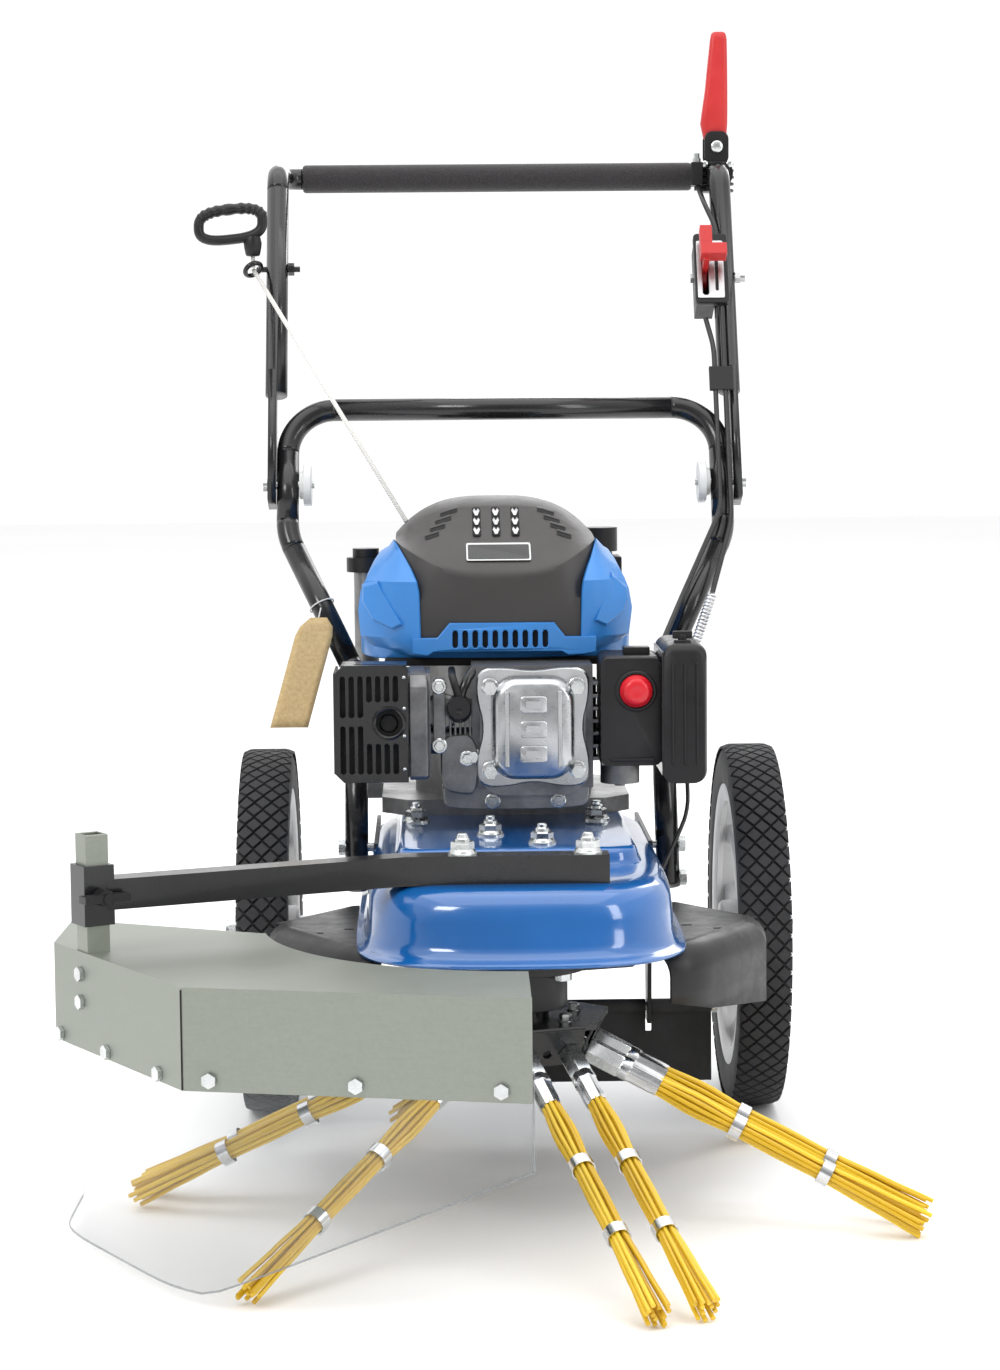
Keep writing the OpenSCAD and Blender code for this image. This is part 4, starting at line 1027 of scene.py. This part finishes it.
ribs.make("filter_ribs", BLACK_PLASTIC, edges=0.9)
latch = Shape()
for r, low, high in ((8, 473, 477), (4, 476, 482)):
    latch.upright(153, -222, ((low, r), (high, r)))
latch.box((144, -224, 478), (162, -220, 485))
latch.make("filter_knob", BLACK_PLASTIC, edges=1, smooth_by=40)
block("filter_seam", GLOSS_BLACK, (132.6, -246, 356), (134.4, -142, 468), 0.5)

PRIMER = (110, 432)
DOME_PROFILE = ((-229, 14.5), (-236, 15), (-239, 14.4), (-241, 12.4), (-242.4, 12), (-244, 11),
                (-245, 8.4), (-245.3, 5), (-245, 3.2), (-245, 0.6))
COLLAR_PROFILE = ((-230, 15.9), (-230, 18.6), (-236.6, 18.6), (-237.6, 17.6), (-237.6, 15.9), (-231, 15.9))
Shape().facing(*PRIMER, DOME_PROFILE, 40).make("primer_dome", BULB_RED, "bulb", ["primer_bulb"], smooth_by=50)
Shape().facing(*PRIMER, COLLAR_PROFILE, 40).make("primer_collar", BLACK_PLASTIC, smooth_by=35)

# ---- debris plate ---------------------------------------------------------

WING = ((124, -436), (162, -388), (218, -300), (222, -262))
WING_FOOT = (186, 172, 160, 158)
ROLL_R = 20
PLATE_TOP = 228


def inset_wing(inset):
    """The right wing's edge moved inwards, mitred at its corners."""
    ahead = [(Vector(b) - Vector(a)).normalized() for a, b in zip(WING, WING[1:])]
    out = []
    for k, p in enumerate(WING):
        before, after = ahead[max(k - 1, 0)], ahead[min(k, len(ahead) - 1)]
        way = (before + after).normalized()
        inward = Vector((-way.y, way.x)) / max(0.3, way.dot(after))
        out.append(Vector(p) + inward * inset)
    return out


def rolled_wing(side):
    """Vertical wall that rolls over into the flat plate."""
    rows = []
    for step in range(7):
        turn = radians(15 * step)
        rows.append([(p, PLATE_TOP - ROLL_R + ROLL_R * cos(turn))
                     for p in inset_wing(ROLL_R - ROLL_R * sin(turn))])
    for part in (0.5, 1):
        rows.append([(p, PLATE_TOP - ROLL_R + part * (foot - PLATE_TOP + ROLL_R))
                     for p, foot in zip(inset_wing(0), WING_FOOT)])
    rings = []
    for k in range(len(WING)):
        ring = [(side * row[k][0].x, row[k][0].y, row[k][1]) for row in rows]
        rings.append(ring[::-side])
    name = "debris_wing_left" if side < 0 else "debris_wing_right"
    Shape().loft(rings, False, False, closed=False).make(name, SATIN_BLACK, thickness=2.6, smooth_by=40)


def debris_top():
    """Flat top of the debris plate, with its slots."""
    wing = [(p.x, p.y) for p in inset_wing(ROLL_R)]
    right = [(48, -490), (90, -477), *wing, (WING[3][0] - 4, -259), (150, -168), (132, -165)]
    left = [(-x, y) for x, y in right[::-1]]
    slots = [moved(round_box(w, h, 1, 3), side * x, y)
             for x, y, w, h in ((150, -294, 9, 5), (176, -312, 7, 5), (146, -368, 9, 4)) for side in (-1, 1)]
    Shape().add(*pressed(right + left, slots, 2.8, lambda u, v, w: (u, v, PLATE_TOP - w), 0.5)).make(
        "debris_top", SATIN_BLACK, stands_for=["debris_plate"], smooth_by=40)


debris_top()
for wing_side in (-1, 1):
    rolled_wing(wing_side)

# ---- rotor tufts ----------------------------------------------------------

random.seed(7)
ROTOR = ((0, (-20, 20)), (60, (-20, 20)), (120, (0,)), (180, (0,)), (240, (-20, 20)), (300, (0,)))
STRANDS = 14
INNER_STRANDS = 4
STRAND_R = 1.95
STRAND_STEPS = 21
BAND_AT = (136, 218)
BAND_H = 10
SLEEVE_END = 68


def tuft_frame(angle, across):
    """Origin and axes of one tuft: outward along it, sideways, and up."""
    a = radians(-90 + ROTOR_TURN + angle)
    radial = Vector((cos(a), sin(a), 0))
    sideways = Vector((-sin(a), cos(a), 0))
    start = Vector((0, SPINDLE_Y, HEAD_Z)) + radial * HEAD_R + sideways * across
    along = radial * cos(DIP) - Vector((0, 0, sin(DIP)))
    return start, along, sideways, sideways.cross(along)


def bundle_radius(s):
    """How wide the bundle is at s mm along the tuft: tied at the bands, loose between."""
    ties = [(SLEEVE_END - 6, 6.2), (102, 8.6), (141, 6.4), (180, 7.0), (223, 6.4), (270, 8.4),
            (TUFT_LEN, 10.6)]
    for (s0, r0), (s1, r1) in zip(ties, ties[1:]):
        if s <= s1:
            t = max(0.0, (s - s0) / (s1 - s0))
            return r0 + (r1 - r0) * t * t * (3 - 2 * t)
    return ties[-1][1]


def tuft(k, angle, across):
    """One bundle of coated wires; each wire has a tone of its own."""
    start, along, sideways, up = tuft_frame(angle, across)
    shape = Shape()
    tones = []
    cross = [(0.42, t + 0.4) for t in turns(INNER_STRANDS)]
    cross += [(1.0, t) for t in turns(STRANDS - INNER_STRANDS)]
    for share, phase in cross:
        wander = random.uniform(-0.18, 0.18)
        end = TUFT_LEN - random.uniform(0, 7)
        reach = random.uniform(0.94, 1.04)
        path = []
        for i in range(STRAND_STEPS + 1):
            s = SLEEVE_END - 8 + (end - SLEEVE_END + 8) * i / STRAND_STEPS
            r = bundle_radius(s) * share * (reach if s > 230 else 1)
            t = phase + wander * (s - SLEEVE_END) / 100
            path.append(start + along * s + sideways * r * cos(t) + up * r * sin(t))
        before = len(shape.faces)
        shape.tube(path, STRAND_R, 7)
        tones += [random.random()] * (len(shape.faces) - before)
    made = shape.make(f"tuft_wires_{k}", YELLOW, "brush", ["tufts"], smooth_by=50)
    layer = made.data.attributes.new("strand", "FLOAT", "FACE")
    layer.data.foreach_set("value", tones)


def tuft_rings(sections, start, along, sideways, up, sides, wobble=0.0):
    """Rings round one tuft: sections of (distance along, radius)."""
    rings = []
    for s, r in sections:
        ring = []
        for t in turns(sides):
            rr = r * (1 + wobble * cos(8 * t))
            ring.append(start + along * s + sideways * rr * cos(t) + up * rr * sin(t))
        rings.append(ring)
    return rings


hexes, sleeves, bands, studs = Shape(), Shape(), Shape(), Shape()
number = 0
for flange_angle, places in ROTOR:
    for across in places:
        number += 1
        tuft(number, flange_angle, across)
        axes = tuft_frame(flange_angle, across)
        hexes.loft(tuft_rings(((0, 10.2), (1, 10.9), (31, 10.9), (33, 9.6)), *axes, 6))
        sleeves.loft(tuft_rings(((31, 9.2), (33, 9.9), (40, 9.9)), *axes, 32), False, False)
        sleeves.loft(tuft_rings(((40, 9.9), (42, 9.0), (62, 9.0), (68, 8.4), (68, 7.4), (60, 7.2)), *axes, 32,
                                0.07), False, False)
        studs.loft(tuft_rings(((-11, 4), (2, 4)), *axes, 16))
        studs.loft(tuft_rings(((-9, 7.4), (-4.1, 7.4)), *axes, 6))
        for s in BAND_AT:
            bands.loft(tuft_rings(((s, 9.1), (s, 10.1), (s + BAND_H, 10.1), (s + BAND_H, 9.1), (s, 9.1)),
                                  *axes, 28), False, False)
            start, along, sideways, up = axes
            ear = start + along * (s + BAND_H / 2) + up * 10.4
            bands.loft([[ear + along * a + sideways * b + up * d
                         for a, b in ((-5, -3), (5, -3), (5, 3), (-5, 3))] for d in (-1, 1)])
hub_bolts = Shape()
for k in range(6):
    turn = radians(-60 + ROTOR_TURN + 60 * k)
    x, y = 46 * cos(turn), SPINDLE_Y + 46 * sin(turn)
    for r, sides, low, high in ((6.6, 24, 175.5, 177), (5.2, 6, 176.8, 182)):
        hub_bolts.upright(x, y, ((low, r), (high - 0.5, r), (high, r * 0.9)), sides)
hub_bolts.make("hub_bolts", ZINC, "brush", smooth_by=35)
hexes.make("tuft_sockets", ZINC, "brush", ["tuft_steel"], edges=0.6)
sleeves.make("tuft_sleeves", CRIMP_STEEL, "brush", smooth_by=40)
bands.make("tuft_bands", CRIMP_STEEL, "brush", smooth_by=35)
studs.make("tuft_studs", ZINC, "brush", smooth_by=35)

# ---- guard skirt ----------------------------------------------------------

# plan of the guard: its two ends and two corners
GA = Vector((-3, SPINDLE_Y - 325))
GB = Vector((-268, SPINDLE_Y - 265))
GC = Vector((-388, SPINDLE_Y - 64))
GD = Vector((-385, SPINDLE_Y + 45))
# the skirt's lower edge is level as far as SKIRT_RISE_X, then climbs
SKIRT_FOOT, SKIRT_TOP = 12, 198
SKIRT_RISE_X = -252
SKIRT_SLOPE = tan(radians(23.5))
SKIRT_STEPS = 14
SKIRT_ROWS = 8


def skirt_path():
    """Plan of the clear skirt, just inside the guard's flange, with soft corners."""
    corners = [(GA.x + 1, GA.y + 3.6), (GB.x + 2, GB.y + 4), (GC.x + 3.6, GC.y + 1.5), (GD.x + 3.6, GD.y - 1)]
    path = []
    for i in range(3):
        a, b = Vector(corners[i]), Vector(corners[i + 1])
        path += [a.lerp(b, k / SKIRT_STEPS) for k in range(SKIRT_STEPS)]
    path.append(Vector(corners[3]))
    for _ in range(9):
        path = [path[0]] + [path[i - 1] * 0.25 + path[i] * 0.5 + path[i + 1] * 0.25
                            for i in range(1, len(path) - 1)] + [path[-1]]
    return path


def skirt():
    """Clear sheet hanging inside the guard, with a painted highlight line on its lower edge and front end."""
    rings = []
    for p in skirt_path():
        low = SKIRT_FOOT + max(0.0, (p.x - SKIRT_RISE_X) * SKIRT_SLOPE)
        rings.append([(p.x, p.y, low + (SKIRT_TOP - low) * k / SKIRT_ROWS) for k in range(SKIRT_ROWS + 1)])
    Shape().loft(rings, False, False, closed=False).make(
        "skirt_sheet", CLEAR, "guard", ["clear_skirt"], thickness=1.6, smooth_by=50)
    edge = Shape()
    edge.tube([ring[0] for ring in rings], 0.9, 6)
    edge.tube(rings[0], 0.9, 6)
    edge.make("skirt_edge_highlight", EDGE_HIGHLIGHT_SHEET, "guard", smooth_by=50)


skirt()
# thin black bar down the guard's corner: painted shade in the fold
fold = Shape()
fold.box((-0.6, -0.6, GUARD_TOP - 79.5), (0.6, 0.6, GUARD_TOP - 2))
fold.turned(lambda p: p + Vector((GB.x - 0.1, GB.y - 0.2, 0)))
fold.make("guard_corner_shade", PAINTED_SHADE, "guard", smooth_by=30)

# ---- handle details -------------------------------------------------------

# pivot of the dead-man lever
LEVER_X, LEVER_Y, LEVER_Z = 226, 228, 952


def lever_blade():
    """Tapered hand lever, narrow beside its boss and rounded at the tip."""
    rings = []
    for z, left, right, half in (
            (956, -9.6, 9.5, 5.6), (963, -13, 11, 6.6), (976, -15.8, 12, 7), (990, -14, 12.2, 7),
            (1010, -11, 12.2, 7), (1040, -8, 12, 6.8), (1062, -5.6, 11.7, 6.4), (1068, -4.6, 10.8, 5.4),
            (1070, -2, 8.5, 3.6)):
        section = round_box(right - left, 2 * half, min(4, half * 0.8), 4)
        rings.append([(LEVER_X + (left + right) / 2 + a, LEVER_Y + b, z) for a, b in section])
    Shape().loft(rings).make("lever_blade", RED_PLASTIC, "lever", ["clutch_lever"], smooth_by=50)


lever_blade()
Shape().facing(LEVER_X, LEVER_Z, ((221, 7.5), (222, 9), (234, 9), (235, 7.5)), 32, back=True).make(
    "lever_boss", RED_PLASTIC, "lever", smooth_by=40)
Shape().facing(LEVER_X, LEVER_Z, ((216, 3.4), (212.6, 6), (211.6, 6), (210.8, 4.6))).make(
    "lever_pin_head", ZINC, "handle", smooth_by=40)


def leaning(x, y, z, base):
    """A point beside the leaning handle tube: y square to the tube, z along it from height base."""
    return (x, lean_y(base) + y * cos(LEAN) + z * sin(LEAN),
            base - y * sin(LEAN) + z * cos(LEAN))


THROTTLE_Z = 815


def throttle_cover():
    """Housing and slotted bright plate in front of the tube, open where the lever swings."""
    opening = [(201.4, -31), (209.2, -31), (209.2, 31), (201.4, 31)]
    Shape().add(*pressed(moved(round_box(34, 78, 4), 211.5, 0), [opening], 8.6,
                         lambda u, v, w: leaning(u, -22 + w, v, THROTTLE_Z), 1.1)).make(
        "throttle_housing", BLACK_PLASTIC, "handle", smooth_by=40)
    slots = [slot_hole(205.3, -31, 28, 7.6), slot_hole(216.5, -26, 22, 3.2)]
    Shape().add(*pressed(moved(round_box(27, 64, 2), 210.5, -2), slots, 1.2,
                         lambda u, v, w: leaning(u, -23.2 + w, v, THROTTLE_Z), 0.3)).make(
        "throttle_face", BARE_STEEL, "handle", smooth_by=40)


throttle_cover()


def lever_clamp():
    """Finned half shells, strap and adjuster that hold the clutch lever on the bar."""
    shape = Shape()
    for k in range(5):
        z = 906 + 6.9 * k
        r = 19.2 - 0.3 * abs(k - 2)
        shape.upright(LEVER_X, LEVER_Y, ((z, r), (z + 3, r)), 28, foot=True)
    for side in (-1, 1):
        y = LEVER_Y + side * 10.5
        cheek_plate = moved(round_box(25, 34, 8), LEVER_X, LEVER_Z - 1)
        shape.loft([[(x, y + d, z) for x, z in cheek_plate] for d in (-1.8, 1.8)])
    shape.box((199, 206, 912), (211, 219, 936))
    shape.make("lever_clamp", BLACK_PLASTIC, "handle", edges=0.9, smooth_by=40)
    metal = Shape()
    for x, z, r in ((205, 940, 4.2), (205, 945, 3)):
        metal.upright(x, 213, ((z - 5, r), (z, r)), 6, foot=True)
    for x, z in ((213, 934), (239, 934)):
        metal.facing(x, z, ((211.5, 3.4), (208.9, 3.4), (208.3, 2.4)), 16)
    metal.make("lever_screws", ZINC, "handle", smooth_by=35)


lever_clamp()


def starter_loop():
    """D-shaped pull grip with ribs along its hand bar."""
    x_mid, y, z_mid = -272, 138, 872
    path, count = [], 96
    for t in turns(count, 1):
        c, s = cos(t), sin(t)
        x = copysign(abs(c) ** 0.7, c) * 32
        z = copysign(abs(s) ** 0.7, s) * 15
        path.append((x_mid + x, y, z_mid + z + 0.1 * x))
    rings = []
    for k, (x, _, z) in enumerate(path):
        prev, nxt = path[(k - 1) % count], path[(k + 1) % count]
        ahead = Vector((nxt[0] - prev[0], 0, nxt[2] - prev[2])).normalized()
        outward = Vector((ahead.z, 0, -ahead.x))
        rib = 0.8 if (z > z_mid + 6 and k % 4 < 2) else 0
        rings.append([tuple(Vector((x, y, z)) + outward * (5.2 + rib) * cos(a)
                            + Vector((0, 1, 0)) * (7 + rib) * sin(a))
                      for a in turns(12)])
    Shape().loft(rings, False, False).make(
        "starter_loop", BLACK_PLASTIC, "pull_grip", ["starter_grip"], smooth_by=60)
    stem = ((840, 5.5), (841, 7.2), (848, 8.6), (853, 9.2), (860, 7.6))
    Shape().upright(-250, y, stem, foot=True).make(
        "starter_stem", BLACK_PLASTIC, "pull_grip", smooth_by=50)


starter_loop()

# cables, which run between the two handle loops across the place where the handle folds
CABLE_GAP = 17


def before_tube(x, z):
    """A point in front of the handle tube, where the cables run."""
    return (x, lean_y(z) - CABLE_GAP, z)


FOLD_BEND = ("chassis", "handle", at(*before_tube(216, 586)), at(*before_tube(216, 638)))


def bent(points, radius, step=6):
    """A route with rounded corners, cut into short lengths."""
    route = [Vector(points[0])]
    for a, b, c in zip(points, points[1:], points[2:]):
        b = Vector(b)
        into, out = (Vector(a) - b).normalized() * radius, (Vector(c) - b).normalized() * radius
        route += [b + into * (1 - t) ** 2 + out * t ** 2 for t in (0, 0.2, 0.4, 0.6, 0.8, 1)]
    route.append(Vector(points[-1]))
    fine = [route[0]]
    for b in route[1:]:
        a = fine[-1]
        parts = max(1, ceil((b - a).length / step))
        fine += [a.lerp(b, k / parts) for k in range(1, parts + 1)]
    return fine


def cables():
    """Clutch and throttle cables down the right tube, and the clip that holds them."""
    shape = Shape()
    shape.tube(bent([(206, 214, 912), (208, 165, 892), before_tube(218.5, 866), before_tube(221, 800),
                     before_tube(221, 575), before_tube(199, 506)], 12), 2.6)
    shape.tube(bent([(205, lean_y(770) - 8, 773), before_tube(211, 745), before_tube(211, 586),
                     before_tube(168, 500), (140, -72, 448), (108, -96, 415), (100, -121.5, 394)], 12), 2.6)
    shape.tube(bent([before_tube(179, 453), (166, -100, 372), (164, -150, 310), (137, -186, 262)], 18), 2)
    shape.make("cable_runs", CABLE, FOLD_BEND, ["cables_upper", "cables_lower"], smooth_by=60)
    clip = Shape()
    clip.box((205, -19, -13), (229, -14.5, 13))
    clip.turned(lambda p: leaning(p.x, p.y, p.z, 706))
    clip.make("cable_clip", BLACK_PLASTIC, "handle", edges=0.9, smooth_by=40)


cables()

# in-line spring of the clutch cable
SPRING_TOP = Vector(before_tube(199, 505))
SPRING_END = Vector(before_tube(179, 454))
spring_axis = (SPRING_END - SPRING_TOP).normalized()
spring_side = spring_axis.orthogonal().normalized()
spring_up = spring_axis.cross(spring_side)
TURNS, COIL_STEPS = 16, 12
coil = []
for k in range(TURNS * COIL_STEPS + 1):
    t = 2 * pi * k / COIL_STEPS
    s = k / (TURNS * COIL_STEPS)
    r = 4.4 if 0.04 < s < 0.96 else 2.2
    coil.append(SPRING_TOP.lerp(SPRING_END, s) + spring_side * r * cos(t) + spring_up * r * sin(t))
Shape().tube(coil, 0.85, 6).make("cable_spring", BARE_STEEL, stands_for=["clutch_spring"], smooth_by=60)


# card of the tag: half its width, and its two ends measured along it from the height CARD_Z
CARD_HALF, CARD_FOOT, CARD_HEAD, CARD_Z = 18, -50, 62, 430


def tag():
    """Blank card on a string, bent a little along its length."""
    rows = []
    for k in range(13):
        s = CARD_FOOT + (CARD_HEAD - CARD_FOOT) * k / 12
        half = CARD_HALF if s < 50 else CARD_HALF - (s - 50) * 0.83
        row = []
        for j in range(7):
            x = -183 - (CARD_HEAD - s) * 0.25 + half * (-1 + 2 * j / 6)
            curl = 1.6 * sin(2.2 * k / 12) + 0.9 * (j / 3 - 1) ** 2
            row.append((x, lean_y(CARD_Z) - 14.2 * cos(LEAN) + s * sin(LEAN) - curl,
                        CARD_Z + s * cos(LEAN)))
        rows.append(row)
    Shape().loft(rows, False, False, closed=False).make(
        "tag_card", KRAFT, stands_for=["hang_tag"], thickness=0.6, smooth_by=50)
    a, b = Vector((-147, lean_y(CARD_Z), CARD_Z)), Vector((-214, lean_y(563), 563))
    middle, axis = (a + b) / 2, (b - a).normalized()
    side = axis.orthogonal().normalized()
    up = axis.cross(side)
    loop = [middle + (side * cos(t) + up * sin(t)) * 12.4 for t in turns(40, 1)]
    string = Shape()
    for path in (loop, [(-181, lean_y(496) - 12, 495), (-183, lean_y(486) - 13.5, 486)]):
        string.tube(path, 0.7, 6)
    string.make("tag_string", ROPE, smooth_by=50)


tag()

# ---- studio ---------------------------------------------------------------


FLOOR_HALF = 14


def floor():
    """White ground under the machine. Its far edge shows in low views."""
    n = Nodes("studio_floor")
    n.set(Roughness=0.6, Specular_IOR_Level=0.2)
    n.color(n.tones(n.noise(0.8, detail=2), (0.92, 0.92, 0.92), (0.94, 0.94, 0.94)))
    mesh = bpy.data.meshes.new("floor")
    corners = [(x * FLOOR_HALF, y * FLOOR_HALF, 0) for x, y in ((-1, -1), (1, -1), (1, 1), (-1, 1))]
    mesh.from_pydata(corners, [], [(0, 1, 2, 3)])
    mesh.materials.append(n.mat)
    obj = bpy.data.objects.new("floor", mesh)
    bpy.context.scene.collection.objects.link(obj)


def area_light(name, place, target, size, power):
    """Rectangular light at a place, turned to a target."""
    light = bpy.data.lights.new(name, "AREA")
    light.shape = "RECTANGLE"
    light.size, light.size_y = size
    light.energy = power
    obj = bpy.data.objects.new(name, light)
    obj.location = place
    obj.rotation_euler = (Vector(target) - Vector(place)).to_track_quat("-Z", "Y").to_euler()
    bpy.context.scene.collection.objects.link(obj)


FRONT_SKY, BACK_SKY = 0.42, 1.08
SKY_AIM = (0, 1, 0.9)


def studio_world():
    """White behind and above the machine, grey low in front of it, so that faces keep their depth."""
    world = bpy.data.worlds.new("studio")
    world.use_nodes = True
    tree = world.node_tree
    coords = tree.nodes.new("ShaderNodeTexCoord")
    aim = tree.nodes.new("ShaderNodeVectorMath")
    aim.operation = "DOT_PRODUCT"
    aim.inputs[1].default_value = SKY_AIM
    ramp = tree.nodes.new("ShaderNodeMapRange")
    ramp.interpolation_type = "SMOOTHSTEP"
    fill(ramp, From_Min=-0.7, From_Max=0.3, To_Min=FRONT_SKY, To_Max=BACK_SKY)
    tree.links.new(coords.outputs["Generated"], aim.inputs[0])
    tree.links.new(aim.outputs["Value"], ramp.inputs["Value"])
    tree.links.new(ramp.outputs["Result"], tree.nodes["Background"].inputs["Strength"])
    fill(tree.nodes["Background"], Color=(1, 1, 1, 1))
    bpy.context.scene.world = world


floor()
studio_world()
# name, place, target, size, power
for lamp in (("key", (-2.0, -2.4, 2.6), (0, 0, 0.4), (1.2, 0.9), 42),
             ("fill", (2.4, -1.8, 1.5), (0, 0, 0.4), (0.7, 1.6), 20),
             ("top", (0, -0.2, 3.6), (0, 0, 0), (4.0, 4.0), 50),
             ("ceiling", (0, 2, 5), (0, 2, 0), (12, 12), 160),
             ("rim_light", (0.6, 2.8, 1.8), (0, 0, 0.5), (2.0, 1.0), 20)):
    area_light(*lamp)
bpy.context.scene.view_settings.view_transform = "Standard"

# ---- camera ---------------------------------------------------------------

FOCAL_WIDTHS = 3.0794
SENSOR = 36
CAMERA_PLACE = (-0.0533, -2.7599, 0.7037)
YAW, TILT, ROLL = radians(-1.288), radians(84.527), radians(-0.504)
camera = bpy.data.cameras.new("camera")
camera.sensor_fit = "HORIZONTAL"
camera.sensor_width = SENSOR
camera.lens = FOCAL_WIDTHS * SENSOR
camera.clip_end = 50
camera_obj = bpy.data.objects.new("camera", camera)
camera_obj.location = CAMERA_PLACE
turn = Matrix.Rotation(YAW, 4, "Z") @ Matrix.Rotation(TILT, 4, "X") @ Matrix.Rotation(ROLL, 4, "Z")
camera_obj.rotation_euler = turn.to_euler()
bpy.context.scene.collection.objects.link(camera_obj)
bpy.context.scene.camera = camera_obj
